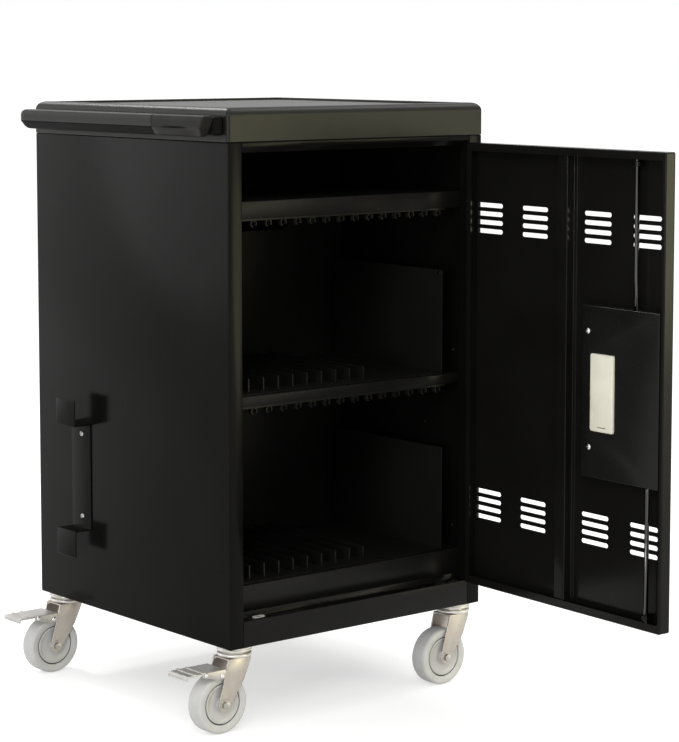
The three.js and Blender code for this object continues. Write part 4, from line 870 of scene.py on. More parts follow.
@dataclass
class VentedPan:
    """A sheet pan with rounded vent slots, its walls folded back and, if it has a lip, folded in again."""

    low: Point
    high: Point
    sheet: float
    lips: tuple[float, float]
    open_way: int
    slot: tuple[float, float]
    vents: list[tuple[float, float]]
    cutters: list[bmesh.types.BMesh] = field(default_factory=list)

    @staticmethod
    @cache
    def tree(finish: Finish) -> Growth:
        """Builds the tree that hollows the pan and cuts a slot at each vent.

        Args:
            finish: The pan's finish.

        Returns:
            The tree.
        """
        made = Growth("vented_pan")
        size, middle = made.size("Size", "NodeSocketVector"), made.size("Middle", "NodeSocketVector")
        hollow, hollow_at = made.size("Hollow", "NodeSocketVector"), made.size("Hollow Middle", "NodeSocketVector")
        mouth, mouth_at = made.size("Mouth", "NodeSocketVector"), made.size("Mouth Middle", "NodeSocketVector")
        width, height = made.size("Slot Width"), made.size("Slot Height")
        depth = made.size("Slot Depth")
        openings = made.size("Openings", "NodeSocketObject")
        pan = made.less(made.cuboid(size, middle), [made.cuboid(hollow, hollow_at), made.cuboid(mouth, mouth_at)])
        outline = made.node("GeometryNodeCurvePrimitiveQuadrilateral", {"Width": width, "Height": height})
        ends = made.node(
            "GeometryNodeFilletCurve",
            {"Curve": outline.outputs[0], "Radius": made.sum("MULTIPLY", height, 0.4999), "Count": 8},
            mode="POLY",
        )
        face = made.node("GeometryNodeFillCurve", {"Curve": ends.outputs[0]}, mode="NGONS")
        drawn = made.node("GeometryNodeExtrudeMesh", {"Mesh": face.outputs[0], "Offset Scale": depth})
        base = made.node("GeometryNodeFlipFaces", {"Mesh": face.outputs[0]})
        both = made.node("GeometryNodeJoinGeometry", {"Geometry": [drawn.outputs["Mesh"], base.outputs[0]]})
        closed = made.node("GeometryNodeMergeByDistance", {"Geometry": both.outputs[0], "Distance": 1e-6})
        upright = made.node(
            "GeometryNodeTransform", {"Geometry": closed.outputs[0], "Rotation": (math.pi / 2, 0.0, 0.0)},
        )
        spread = made.node(
            "GeometryNodeInstanceOnPoints", {"Points": made.geometry, "Instance": upright.outputs[0]},
        )
        cutters = made.node("GeometryNodeRealizeInstances", {"Geometry": spread.outputs[0]})
        others = made.node("GeometryNodeObjectInfo", {"Object": openings})
        made.close(made.less(pan, [cutters.outputs[0], others.outputs["Geometry"]]), finish)
        return made

    def grow(self, finish: Finish) -> bpy.types.Mesh:
        """Grows the pan, closed and square to the axes.

        Args:
            finish: Its finish.

        Returns:
            The pan's mesh, its folds rounded.
        """
        low, high, sheet = Vector(self.low), Vector(self.high), self.sheet
        skin = low.y if self.open_way > 0 else high.y
        inner = Vector((sheet,) * 3)
        hollow_low, hollow_high = low + inner, high - inner
        first, lip = self.lips
        back = (high.y - 2 * sheet, high.y + sheet) if self.open_way > 0 else (low.y - sheet, low.y + 2 * sheet)
        mouth_low = Vector((low.x + first, back[0], low.z + lip))
        mouth_high = Vector((high.x - lip, back[1], high.z - lip))
        seeds = bpy.data.meshes.new("vents")
        reach = 4 * sheet
        seeds.from_pydata([(x, skin + reach / 2, z) for x, z in self.vents], [], [])
        cuts = bmesh.new()
        for cutter in self.cutters:
            merge(cuts, cutter)
        openings = bpy.data.objects.new("openings", mesh_of(cuts, "openings"))
        bpy.context.scene.collection.objects.link(openings)
        sizes = {
            "Size": high - low, "Middle": (low + high) / 2,
            "Hollow": hollow_high - hollow_low, "Hollow Middle": (hollow_low + hollow_high) / 2,
            "Mouth": mouth_high - mouth_low, "Mouth Middle": (mouth_low + mouth_high) / 2,
            "Slot Width": self.slot[0], "Slot Height": self.slot[1], "Slot Depth": reach, "Openings": openings,
        }
        sizes = {k: tuple(v) if isinstance(v, Vector) else v for k, v in sizes.items()}
        mesh = self.tree(finish).grow(seeds, sizes)
        bpy.data.objects.remove(openings)
        return self.folded(mesh, low, high)

    @staticmethod
    def folded(mesh: bpy.types.Mesh, low: Vector, high: Vector, fold: float = 0.003) -> bpy.types.Mesh:
        """Rounds the outer folds of a pan.

        Args:
            mesh: The pan.
            low: Lowest corner of its box.
            high: Highest corner.
            fold: Radius of the folds.

        Returns:
            The rounded mesh.
        """
        bm = bmesh.new()
        bm.from_mesh(mesh)
        bmesh.ops.remove_doubles(bm, verts=bm.verts, dist=1e-6)
        bmesh.ops.dissolve_limit(bm, angle_limit=math.radians(0.4), verts=bm.verts, edges=bm.edges)
        weight = bm.edges.layers.float.new("bevel_weight_edge")
        for e in bm.edges:
            outer = sum(
                all(abs(v.co[axis] - bound) < 2e-5 for v in e.verts)
                for axis in range(3) for bound in (low[axis], high[axis])
            )
            if outer >= 2:
                e[weight] = 1.0
            e.smooth = e[weight] > 0.0 or e.calc_face_angle(0.0) < math.radians(25)
        bm.to_mesh(mesh)
        bm.free()
        return rounded(mesh, width=fold, segments=3, limit_method="WEIGHT", use_clamp_overlap=False)


@dataclass
class ClipRail:
    """Row of open cable rings hanging from a strip."""

    node: str
    pitch: float = 0.032
    radius: float = 0.0065
    wall: float = 0.0018
    strip_height: float = 0.012
    strip_sheet: float = 0.002
    mouth: float = 70.0

    @staticmethod
    @cache
    def tree(finish: Finish) -> Growth:
        """Builds the tree of a strip and its rings.

        Args:
            finish: The rail's finish.

        Returns:
            The tree.
        """
        made = Growth("clip_rail")
        strip, strip_at = made.size("Strip", "NodeSocketVector"), made.size("Strip Middle", "NodeSocketVector")
        radius, wall, depth = made.size("Ring Radius"), made.size("Ring Wall"), made.size("Ring Depth")
        mouth = made.size("Mouth")
        arc = made.node(
            "GeometryNodeCurveArc",
            {
                "Resolution": 24, "Radius": made.sum("SUBTRACT", radius, made.sum("MULTIPLY", wall, 0.5)),
                "Start Angle": made.sum("MULTIPLY", mouth, -0.5), "Sweep Angle": made.sum("SUBTRACT", 2 * math.pi, mouth),
            },
        )
        section = made.node("GeometryNodeCurvePrimitiveQuadrilateral", {"Width": wall, "Height": depth})
        ring = made.node(
            "GeometryNodeCurveToMesh",
            {"Curve": arc.outputs["Curve"], "Profile Curve": section.outputs[0], "Fill Caps": True},
        )
        upright = made.node(
            "GeometryNodeTransform", {"Geometry": ring.outputs[0], "Rotation": (math.pi / 2, 0.0, 0.0)},
        )
        spread = made.node(
            "GeometryNodeInstanceOnPoints", {"Points": made.geometry, "Instance": upright.outputs[0]},
        )
        rail = made.node(
            "GeometryNodeJoinGeometry", {"Geometry": [made.cuboid(strip, strip_at), spread.outputs[0]]},
        )
        made.close(rail.outputs[0], finish)
        return made

    def build(self, finish: Finish) -> None:
        """Grows the rail in place of its node.

        Args:
            finish: Its finish.
        """
        low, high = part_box(self.node)
        middle = (low + high) / 2
        count = int((high.x - low.x) / self.pitch)
        seeds = bpy.data.meshes.new(self.node)
        seeds.from_pydata(
            [(middle.x + (k - (count - 1) / 2) * self.pitch, middle.y, low.z + self.radius) for k in range(count)], [], [],
        )
        sizes = {
            "Strip": (high.x - low.x, self.strip_sheet, self.strip_height),
            "Strip Middle": (middle.x, low.y + self.strip_sheet / 2, high.z - self.strip_height / 2),
            "Ring Radius": self.radius, "Ring Wall": self.wall, "Ring Depth": high.y - low.y,
            "Mouth": math.radians(self.mouth),
        }
        mesh = self.tree(finish).grow(seeds, sizes)
        mesh.shade_smooth()
        mesh.set_sharp_from_angle(angle=math.radians(35))
        Frame.place(mesh, f"{self.node}_piece", Body.CABINET, finish, self.node)


@dataclass
class Sockets:
    """Round outlet inserts along a power strip."""

    node: str
    count: int = 8
    pitch: float = 0.05
    radius: float = 0.0145
    rim: float = 0.0016
    pin: tuple[float, float] = (0.0022, 0.0066)
    proud: float = 0.0012

    @staticmethod
    @cache
    def tree(finish: Finish) -> Growth:
        """Builds the tree of an insert on each point.

        Args:
            finish: The inserts' finish.

        Returns:
            The tree.
        """
        made = Growth("socket_inserts")
        radius, rim, proud = made.size("Radius"), made.size("Rim"), made.size("Proud")
        pin = made.size("Pin", "NodeSocketVector")
        body = made.node("GeometryNodeMeshCylinder", {"Vertices": 40, "Radius": radius, "Depth": made.sum("MULTIPLY", proud, 2.0)})
        bore = made.node(
            "GeometryNodeMeshCylinder",
            {"Vertices": 40, "Radius": made.sum("SUBTRACT", radius, rim), "Depth": proud},
        )
        lifted = made.node(
            "GeometryNodeTransform", {"Geometry": bore.outputs["Mesh"], "Translation": made.vector(0.0, 0.0, proud)},
        )
        across = made.sum("MULTIPLY", radius, 0.42)
        down = made.sum("MULTIPLY", radius, -0.5)
        pins = [
            made.cuboid(pin, made.vector(across, made.sum("MULTIPLY", radius, 0.15), 0.0)),
            made.cuboid(pin, made.vector(made.sum("MULTIPLY", across, -1.0), made.sum("MULTIPLY", radius, 0.15), 0.0)),
            made.cuboid(pin, made.vector(0.0, down, 0.0)),
        ]
        insert = made.less(body.outputs["Mesh"], [lifted.outputs[0], *pins])
        facing = made.node("GeometryNodeTransform", {"Geometry": insert, "Rotation": (-math.pi / 2, math.pi, 0.0)})
        spread = made.node(
            "GeometryNodeInstanceOnPoints", {"Points": made.geometry, "Instance": facing.outputs[0]},
        )
        made.close(spread.outputs[0], finish)
        return made

    def build(self, finish: Finish) -> None:
        """Grows the inserts on their strip.

        Args:
            finish: Their finish.
        """
        low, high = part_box(self.node)
        middle = (low + high) / 2
        seeds = bpy.data.meshes.new(self.node)
        seeds.from_pydata(
            [(middle.x + (k - (self.count - 1) / 2) * self.pitch, high.y, middle.z) for k in range(self.count)], [], [],
        )
        sizes = {
            "Radius": self.radius, "Rim": self.rim, "Proud": self.proud, "Pin": (*self.pin, 4 * self.proud),
        }
        mesh = self.tree(finish).grow(seeds, sizes)
        mesh.shade_smooth()
        mesh.set_sharp_from_angle(angle=math.radians(35))
        Frame.place(mesh, f"{self.node}_sockets", Body.CABINET, finish)


# Sub-assemblies


@dataclass
class Cabinet:
    """Folded sheet-steel body with its cord hook and strike plates."""

    hook_screw_y: float = 0.404
    hook_screw_levels: tuple[float, float] = (0.4584, 0.3073)
    strike_size: tuple[float, float] = (0.024, 0.0115)
    strike_sheet: float = 0.0012
    rod_hole: float = 0.0048
    rail_top: float = 0.19
    strike_right: tuple[float, float] = (0.2725, -0.022)
    wall_dots: tuple[tuple[float, float], ...] = ((0.037, 0.601), (0.038, 0.276), (0.114, 0.46))

    def strike(self, x: float, y: float) -> bmesh.types.BMesh:
        """Cuts an oval plate with a hole in its middle.

        Args:
            x: Its middle.
            y: Its middle.

        Returns:
            The working mesh.
        """
        bm = bmesh.new()
        half = self.strike_size[1] / 2
        straight = self.strike_size[0] / 2 - half
        rings = []
        for z in (self.rail_top, self.rail_top + self.strike_sheet):
            for outer in (True, False):
                ring = []
                for k in range(32):
                    a = 2 * math.pi * k / 32
                    reach = math.copysign(straight, math.cos(a)) if outer else 0.0
                    size = half if outer else self.rod_hole
                    ring.append(bm.verts.new((x + reach + size * math.cos(a), y + size * math.sin(a), z)))
                rings.append(ring)
        for first, second in ((0, 2), (2, 3), (3, 1), (1, 0)):
            for k in range(32):
                j = (k + 1) % 32
                bm.faces.new((rings[first][k], rings[first][j], rings[second][j], rings[second][k]))
        return bm

    def build(self) -> None:
        """Builds the body's pieces."""
        # The side panels, roof and cord hook take the weakly reflecting copy of the paint: painted shade.
        for node in ("left_side_panel", "right_side_panel", "roof_panel"):
            Frame.soften(node, Body.CABINET, SHADED_PANEL_PAINT)
        Frame.soften("bottom_pan", Body.CABINET, PAINT)
        Frame.soften("cord_hook", Body.CABINET, SHADED_PANEL_PAINT, fold=0.0012, edge=0.0006)
        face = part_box("left_side_panel")[0].x - 0.0023
        left = -Axis.X.value
        seats = [((face, self.hook_screw_y, z), left) for z in self.hook_screw_levels]
        Screws(radius=0.005, height=0.0026).at(*seats).build("cord_hook_screws", Body.CABINET, DULL_STEEL)
        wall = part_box("right_side_panel")[1].x - 0.0015
        Screws().at(*(((wall, y, z), left) for y, z in self.wall_dots)).build("wall_screws", Body.CABINET, PAINT)
        hinge = Frame.joint("front_door_swing")
        _, across, through = FrontDoor().rods()[1]
        plates = (
            ("lower_strike_plate", hinge.x + across, hinge.y + through, HUB), ("lower_pad_plate", *self.strike_right, PAINT),
        )
        for name, x, y, finish in plates:
            Frame.place(mesh_of(self.strike(x, y), name, 30), name, Body.CABINET, finish)


@dataclass
class Worktop:
    """Moulded tray with its push handle."""

    top_edge: float = 0.014
    corner: float = 0.006
    wall: float = 0.004
    rim: tuple[float, float] = (0.024, 0.004)
    recess_corner: float = 0.016
    bracket_stretch: float = 1.19
    undercut: float = 0.015
    undercut_depth: float = 0.010
    facet: float = 0.005
    dome: float = 0.024
    seam: float = 0.0012
    grip_start: float = 0.006
    slant: float = 0.017
    groove: float = 0.0036
    bulge: float = 0.0062

    def halves(self, low: Vector, high: Vector, groove: float, bulge: float) -> tuple[Profile, Profile]:
        """Draws the sections of the handle's upper shell and its underside.

        Args:
            low: Lowest corner of the handle's box.
            high: Highest corner.
            groove: Depth of the crease under its outer face.
            bulge: How far its lower face swells.

        Returns:
            Both sections' points in X and Z, in order.
        """
        f, level = self.facet, low.z + self.undercut
        foot = self.undercut_depth - bulge
        crease, seat = (low.x + groove, level), (high.x, level)
        upper = [
            seat, (high.x, high.z - f), (high.x - 0.3 * f, high.z - 0.3 * f), (high.x - f, high.z), (low.x + f, high.z),
            (low.x + 0.3 * f, high.z - 0.3 * f), (low.x, high.z - f), (low.x, (high.z + level) / 2),
            (low.x + 0.0004, level + 0.0022), crease,
        ]
        lower = [
            crease, (low.x + 0.45 * groove, level - 0.0022), (low.x + 0.35 * foot + 0.25 * groove, level - 0.006),
            (low.x + foot - 0.001, low.z + 0.0022), (low.x + foot + 0.0012, low.z + 0.0006), (low.x + foot + 0.004, low.z),
            (high.x - f, low.z), (high.x - 0.3 * f, low.z + 0.3 * f), (high.x, low.z + f), seat,
        ]
        return upper, lower

    @staticmethod
    def loft(rings: list[list[Vector]], name: str, finish: Finish, *stands_for: str) -> None:
        """Skins sections into a piece of the handle.

        Args:
            rings: The sections' points, along the piece.
            name: The piece's name.
            finish: Its finish.
            stands_for: Nodes that it replaces.
        """
        bm = bmesh.new()
        made = [[bm.verts.new(p) for p in ring] for ring in rings]
        for first, second in zip(made, made[1:]):
            for k in range(len(first)):
                j = (k + 1) % len(first)
                bm.faces.new((first[k], first[j], second[j], second[k]))
        bm.faces.new(made[0])
        bm.faces.new(made[-1])
        Frame.place(weighted(mesh_of(bm, name, 26)), name, Body.CABINET, finish, *stands_for)

    @staticmethod
    def drawn_in(outline: Profile, middle: Vector, y: float, size: float) -> list[Vector]:
        """Lays a section across the handle, drawn in towards its middle.

        Args:
            outline: The section.
            middle: The handle's middle.
            y: Where along the handle.
            size: The share of the section's size.

        Returns:
            The section's points.
        """
        return [Vector((middle.x + (x - middle.x) * size, y, middle.z + (z - middle.z) * size)) for x, z in outline]

    def tray(self) -> None:
        """Builds the tray, rounded over along its top edge, with its raised rim and its hollow underside."""
        low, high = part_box("worktop_tray")
        middle, half = (low + high) / 2, (high - low) / 2
        width, depth = self.rim
        floor, edge = high.z - depth, self.top_edge
        levels = [
            (self.wall, floor - self.wall, 0.001), (self.wall, low.z, 0.001),
            (0.0008, low.z, self.corner), (0.0, low.z + 0.0008, self.corner),
        ]
        for k in range(13):
            a = math.radians(7.5 * k)
            levels.append((edge * (1.0 - math.cos(a)), high.z - edge + edge * math.sin(a), self.corner))
        levels += [
            (width - 0.0015, high.z, self.recess_corner), (width - 0.0004, high.z - 0.0004, self.recess_corner),
            (width, high.z - 0.0015, self.recess_corner), (width, floor, self.recess_corner),
        ]
        rings = [
            [Vector((middle.x + a, middle.y + b, z)) for a, b in rounded_rectangle(half.x - inset, half.y - inset, radius)]
            for inset, z, radius in levels
        ]
        self.loft(rings, "worktop_tray_piece", MOULDED, "worktop_tray")

    def stretched(self, bm: bmesh.types.BMesh) -> None:
        """Makes a bracket taller about its middle."""
        levels = [v.co.z for v in bm.verts]
        middle = (min(levels) + max(levels)) / 2
        for v in bm.verts:
            v.co.z = middle + (v.co.z - middle) * self.bracket_stretch

    def bar(self) -> None:
        """Builds the handle's bar, with a seam at the grip and its far end rounded like a dome; its underside takes a
        darker copy of the moulding, which paints the shade under the bar.
        """
        low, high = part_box("handle_bar")
        middle = (low + high) / 2
        steps = [(low.y + reach * self.seam, size) for reach, size in ((0.0, 0.93), (1.0, 0.93), (1.3, 0.985), (2.2, 1.0))]
        for k in range(13):
            a = math.radians(7.5 * k)
            steps.append((high.y - self.dome + self.dome * math.sin(a), max(math.cos(a), 0.04)))
        upper, lower = self.halves(low, high, 0.0, 0.0)
        rings = [self.drawn_in(upper, middle, y, size) for y, size in steps]
        self.loft(rings, "handle_bar_shell", BAR, "handle_bar")
        # The underside is the same moulding in a darker copy: painted shade.
        rings = [self.drawn_in(lower, middle, y, size) for y, size in steps]
        self.loft(rings, "handle_bar_underside", SHADED_MOULDING)

    def grip(self) -> None:
        """Builds the grip, with a long crease for the fingers and a slanted front end."""
        low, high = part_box("handle_grip")
        height = high.z - low.z
        pieces: tuple[list[list[Vector]], list[list[Vector]]] = ([], [])
        for k in range(33):
            t = k / 32
            swell = math.sin(math.pi * min(max((t - 0.12) / 0.86, 0.0), 1.0))
            halves = self.halves(low, high, self.groove * swell, 0.0015 + self.bulge * swell ** 0.6)
            for rings, outline in zip(pieces, halves):
                ring = []
                for x, z in outline:
                    start = low.y + self.grip_start + self.slant * ((high.z - z) / height) ** 1.3
                    ring.append(Vector((x, start + t * (high.y - start), z)))
                rings.append(ring)
        ends = pieces[0][0] + pieces[1][0]
        centre = sum(ends, Vector()) / len(ends)
        for rings in pieces:
            nose = [
                [centre + (p - centre) * size + Vector((0.0, back, 0.0)) for p in rings[0]]
                for size, back in ((0.8, -0.0002), (0.92, 0.0004), (0.98, 0.0016))
            ]
            rings[:1] = nose
        self.loft(pieces[0], "handle_grip_shell", GRIP, "handle_grip")
        self.loft(pieces[1], "handle_grip_underside", GRIP)

    def build(self) -> None:
        """Builds the tray and the handle."""
        self.tray()
        self.bar()
        self.grip()
        # The brackets take the darker copy of the moulding: painted shade where they sit behind the grip.
        for node in ("handle_bracket_front", "handle_bracket_rear"):
            Frame.soften(node, Body.CABINET, SHADED_MOULDING, fold=0.004, edge=0.004, shape=self.stretched)


@dataclass
class Bays:
    """Shelves, racks and cable clips."""

    plate_screw_y: float = 0.03
    plate_screw_level: float = 0.7447

    def build(self) -> None:
        """Builds the bays' pieces."""
        for node in ("lower_deck", "middle_shelf", "top_shelf"):
            Frame.soften(node, Body.CABINET, INNER_PAINT, fold=0.0014)
        for node in ("lower_device_rack", "upper_device_rack", "rear_partition"):
            Frame.soften(node, Body.CABINET, INNER_PAINT, fold=0.0004)
        for node in ("lower_clip_rail", "upper_clip_rail"):
            ClipRail(node).build(MOULDED)
        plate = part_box("upper_device_rack")[1].x - 0.0015
        seat = (plate, self.plate_screw_y, self.plate_screw_level)
        Screws().at((seat, -Axis.X.value)).build("rack_screw", Body.CABINET, PAINT)


@dataclass
class FrontDoor:
    """Right-hung door with its lock, cover and pull cup, built closed about its hinge line and then swung open."""

    free_edge: float = -0.51
    hinge_edge: float = -0.011
    face: float = 0.0065
    thickness: float = 0.022
    sheet: float = 0.0015
    lip: float = 0.014
    free_lip: float = 0.006
    slot: tuple[float, float] = (0.066, 0.008)
    slot_pitch: float = 0.0153
    slot_count: int = 4
    group_offsets: tuple[float, ...] = (-0.188, -0.07, 0.088, 0.206)
    group_levels: tuple[float, float] = (0.85, 0.337)
    lock: tuple[float, float] = (-0.453, 0.576)
    barrel: float = 0.01
    rosette: float = 0.015
    rod_offset: float = 0.017
    rod_hole: float = 0.0048
    cup_from_lock: float = 0.085
    cup_size: tuple[float, float] = (0.0556, 0.1316)
    cup_depth: float = 0.026
    cover_screws: tuple[tuple[float, float], ...] = ((-0.331, 0.678), (-0.335, 0.482))
    guide_level: float = 0.0215

    def swung(self, mesh: bpy.types.Mesh) -> bpy.types.Mesh:
        """Swings a mesh built on the closed door to where the door stands.

        Args:
            mesh: The mesh, with the hinge line through its origin.

        Returns:
            The same mesh.
        """
        mesh.transform(self.stand())
        return mesh

    def stand(self) -> Matrix:
        """Where the open door's own frame stands; its joint's lower end is the closed door."""
        hinge = Frame.joint("front_door_swing")
        turn = -math.radians(Frame.ranges["front_door_swing"][0])
        return Matrix.Translation((hinge.x, hinge.y, 0.0)) @ Matrix.Rotation(turn, 4, "Z")

    def rods(self) -> list[tuple[int, float, float]]:
        """Each rod's way, and its place across and through the closed door."""
        back = self.stand().inverted()
        found = []
        for way, node in ((1, "lock_rod_upper"), (-1, "lock_rod_lower")):
            low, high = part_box(node)
            middle = back @ ((low + high) / 2)
            found.append((way, self.lock[0] + way * self.rod_offset, middle.y))
        return found

    def pan(self) -> None:
        """Builds the vented pan."""
        bottom, top = (corner.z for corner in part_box("door_pan"))
        middle = (self.free_edge + self.hinge_edge) / 2
        vents = [
            (middle + x, z + (k - (self.slot_count - 1) / 2) * self.slot_pitch)
            for x in self.group_offsets for z in self.group_levels for k in range(self.slot_count)
        ]
        lock_x, lock_z = self.lock
        cup_x = lock_x + self.cup_from_lock
        near, far = self.face - self.sheet, self.face + 2 * self.sheet
        half_w, half_h = self.cup_size[0] / 2, self.cup_size[1] / 2
        cutters = [
            block((cup_x - half_w, near, lock_z - half_h), (cup_x + half_w, far, lock_z + half_h)),
            rod((lock_x, near, lock_z), Axis.Y, self.barrel + 0.0003, far - near),
        ]
        for way, x, y in self.rods():
            edge = top if way > 0 else bottom
            cutters.append(rod((x, y, edge - 2 * self.sheet), Axis.Z, self.rod_hole, 4 * self.sheet))
        pan = VentedPan(
            (self.free_edge, self.face, bottom), (self.hinge_edge, self.face + self.thickness, top),
            self.sheet, (self.free_lip, self.lip), 1, self.slot, vents, cutters,
        )
        # The pan takes the lighter copy of the paint: painted reflection.
        Frame.place(self.swung(pan.grow(LIT_DOOR_PAINT)), "door_pan_piece", Body.FRONT_DOOR, LIT_DOOR_PAINT, "door_pan")

    def cup(self) -> None:
        """Builds the pull cup: its flange outside, its hollow, and its back with rounded edges, with a dark strip
        across the back that paints the shade of a small moulded slot.
        """
        lock_x, lock_z = self.lock
        x, half_w, half_h = lock_x + self.cup_from_lock, self.cup_size[0] / 2 - 0.0003, self.cup_size[1] / 2 - 0.0003
        back = self.face + self.cup_depth
        mouth, wall, flange = self.face - 0.0023, 0.002, 0.009
        levels = [
            (flange, mouth, 0.011), (flange, self.face - 0.0003, 0.011), (0.0, self.face - 0.0003, 0.004),
            (0.0, back - 0.0022, 0.004), (-0.0007, back - 0.0007, 0.004), (-0.0022, back, 0.004),
            None,
            (-wall - 0.0015, back - wall, 0.0045), (-wall - 0.0004, back - wall - 0.0012, 0.0045),
            (-wall, back - wall - 0.003, 0.0045), (-wall, mouth + 0.0025, 0.0045),
            (-wall + 0.0008, mouth + 0.0006, 0.005), (-wall + 0.0022, mouth, 0.0055),
        ]
        bm = bmesh.new()
        rings: list[list[bmesh.types.BMVert] | None] = []
        for level in levels:
            if level is None:
                rings.append(None)
                continue
            grow, y, radius = level
            points = rounded_rectangle(half_w + grow, half_h + grow, max(radius + min(grow, 0.0), 0.0015))
            rings.append([bm.verts.new((x + a, y, lock_z + b)) for a, b in points])
        for first, second in zip(rings, rings[1:]):
            if first is None or second is None:
                continue
            for k in range(len(first)):
                j = (k + 1) % len(first)
                bm.faces.new((first[k], first[j], second[j], second[k]))
        gap = rings.index(None)
        bm.faces.new(rings[gap - 1])
        bm.faces.new(rings[gap + 1])
        for k in range(len(rings[0])):
            j = (k + 1) % len(rings[0])
            bm.faces.new((rings[0][k], rings[0][j], rings[-1][j], rings[-1][k]))
        mesh = self.swung(mesh_of(bm, "cup", 40))
        Frame.place(mesh, "pull_cup_piece", Body.FRONT_DOOR, CREAM, "pull_cup")
        # A thin dark strip across the cup's back: painted shade of a small moulded slot.
        line = block((x - 0.012, back - 0.0004, lock_z - half_h + 0.0075), (x + 0.008, back + 0.0004, lock_z - half_h + 0.0085))
        Frame.place(self.swung(mesh_of(line, "line")), "cup_mould_line", Body.FRONT_DOOR, GRIP)

    def fittings(self) -> None:
        """Builds the lock's rosette, the cover's screws and the rods' guides."""
        lock_x, lock_z = self.lock
        r, bore = self.rosette, 0.00735
        profile = [
            (bore, -0.0033), (r - 0.0022, -0.0033), (r - 0.0008, -0.0026), (r, -0.0012), (r, -0.0003),
            (self.barrel, -0.0003), (self.barrel, 0.008), (bore, 0.008),
        ]
        mesh = mesh_of(turned(profile, (lock_x, self.face, lock_z), Axis.Y), "rosette", 35)
        Frame.place(self.swung(mesh), "lock_body_piece", Body.FRONT_DOOR, STEEL, "lock_body")
        stand = self.stand()
        way = stand.to_3x3() @ Axis.Y.value
        cover = self.face + self.thickness
        spots = [(tuple(stand @ Vector((x, cover, z))), way) for x, z in self.cover_screws]
        Screws(radius=0.005, height=0.0024).at(*spots).build("lock_cover_screws", Body.FRONT_DOOR, STEEL)
        bottom, top = (corner.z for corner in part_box("door_pan"))
        for way_up, x, y in self.rods():
            level = top - self.guide_level if way_up > 0 else bottom + self.guide_level
            ring = [
                (0.0046, -0.004), (0.0062, -0.004), (0.0068, -0.0032), (0.0068, 0.0032), (0.0062, 0.004), (0.0046, 0.004),
            ]
            bm = turned(ring, (x, y, level), Axis.Z, 32)
            foot = block((x - 0.006, self.face + self.sheet, level - 0.004), (x + 0.006, y - 0.0062, level + 0.004))
            merge(bm, foot)
            name = "upper_rod_guide" if way_up > 0 else "lower_rod_guide"
            Frame.place(self.swung(mesh_of(bm, name, 35)), name, Body.FRONT_DOOR, PAINT)

    def build(self) -> None:
        """Builds the door's pieces."""
        self.pan()
        self.cup()
        self.fittings()
        # The stiffener takes the lighter copy of the paint: painted reflection.
        Frame.soften("door_stiffener", Body.FRONT_DOOR, LIT_DOOR_PAINT, fold=0.0022, edge=0.0014)
        Frame.soften("lock_cover", Body.FRONT_DOOR, COVER_PAINT, fold=0.0034, edge=0.0014, steps=4)
        Frame.smooth("lock_rod_upper", Body.UPPER_ROD, BLACK_STEEL)
        Frame.smooth("lock_rod_lower", Body.LOWER_ROD, BLACK_STEEL)
        Frame.smooth("lock_plug", Body.LOCK, STEEL)
        for place in ("upper", "lower"):
            Frame.smooth(f"hinge_frame_leaf_{place}", Body.CABINET, PAINT)
            Frame.smooth(f"hinge_door_leaf_{place}", Body.FRONT_DOOR, PAINT)
            Frame.smooth(f"hinge_pin_{place}", Body.CABINET, STEEL)


@dataclass
class RearDoor:
    """Plain vented door at the back, and its cam lock."""

    sheet: float = 0.0015
    slot: tuple[float, float] = (0.12, 0.008)
    slot_pitch: float = 0.0153
    slot_count: int = 5
    group_offset: float = 0.09
    group_level: float = 0.11
    lock_hole: float = 0.00835
    pin: float = 0.004
    pin_root: float = 0.012
    pin_reach: float = 0.0045

    def build(self) -> None:
        """Builds the rear door's pieces."""
        bottom, top = (corner.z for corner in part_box("door_pan"))
        low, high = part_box("rear_door")
        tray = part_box("worktop_tray")
        middle = (tray[0].x + tray[1].x) / 2
        vents = [
            (middle + way * self.group_offset, level + (k - (self.slot_count - 1) / 2) * self.slot_pitch)
            for way in (-1, 1) for level in (top - self.group_level, bottom + self.group_level)
            for k in range(self.slot_count)
        ]
        lock = Frame.joint("rear_lock_turn")
        hole = rod((lock.x, high.y - 2 * self.sheet, lock.z), Axis.Y, self.lock_hole, 4 * self.sheet)
        pan = VentedPan(
            (low.x, low.y, bottom), (high.x, high.y, top), self.sheet, (self.sheet, self.sheet), -1, self.slot, vents, [hole],
        )
        Frame.place(pan.grow(PAINT), "rear_door_piece", Body.REAR_DOOR, PAINT, "rear_door")
        pivot = Frame.joint("rear_door_swing")
        pins = rod((pivot.x, pivot.y, top - self.pin_root), Axis.Z, self.pin, self.pin_root + self.pin_reach, 32)
        merge(pins, rod((pivot.x, pivot.y, bottom - self.pin_reach), Axis.Z, self.pin, self.pin_root + self.pin_reach, 32))
        Frame.place(mesh_of(pins, "pins", 40), "rear_door_pins", Body.REAR_DOOR, STEEL)
        Frame.smooth("rear_lock", Body.REAR_LOCK, STEEL)


@dataclass
class PowerGear:
    """Power strips, inlet and main switch."""

    def build(self) -> None:
        """Builds the electrical pieces."""
        for node in ("lower_power_strip", "upper_power_strip"):
            Frame.soften(node, Body.CABINET, MOULDED, fold=0.002, edge=0.0008)
            Sockets(node).build(GRIP)
        Frame.soften("power_inlet", Body.CABINET, GRIP, fold=0.0012, edge=0.0005)
        Frame.soften("power_rocker", Body.SWITCH, MOULDED, fold=0.0006, edge=0.0006)


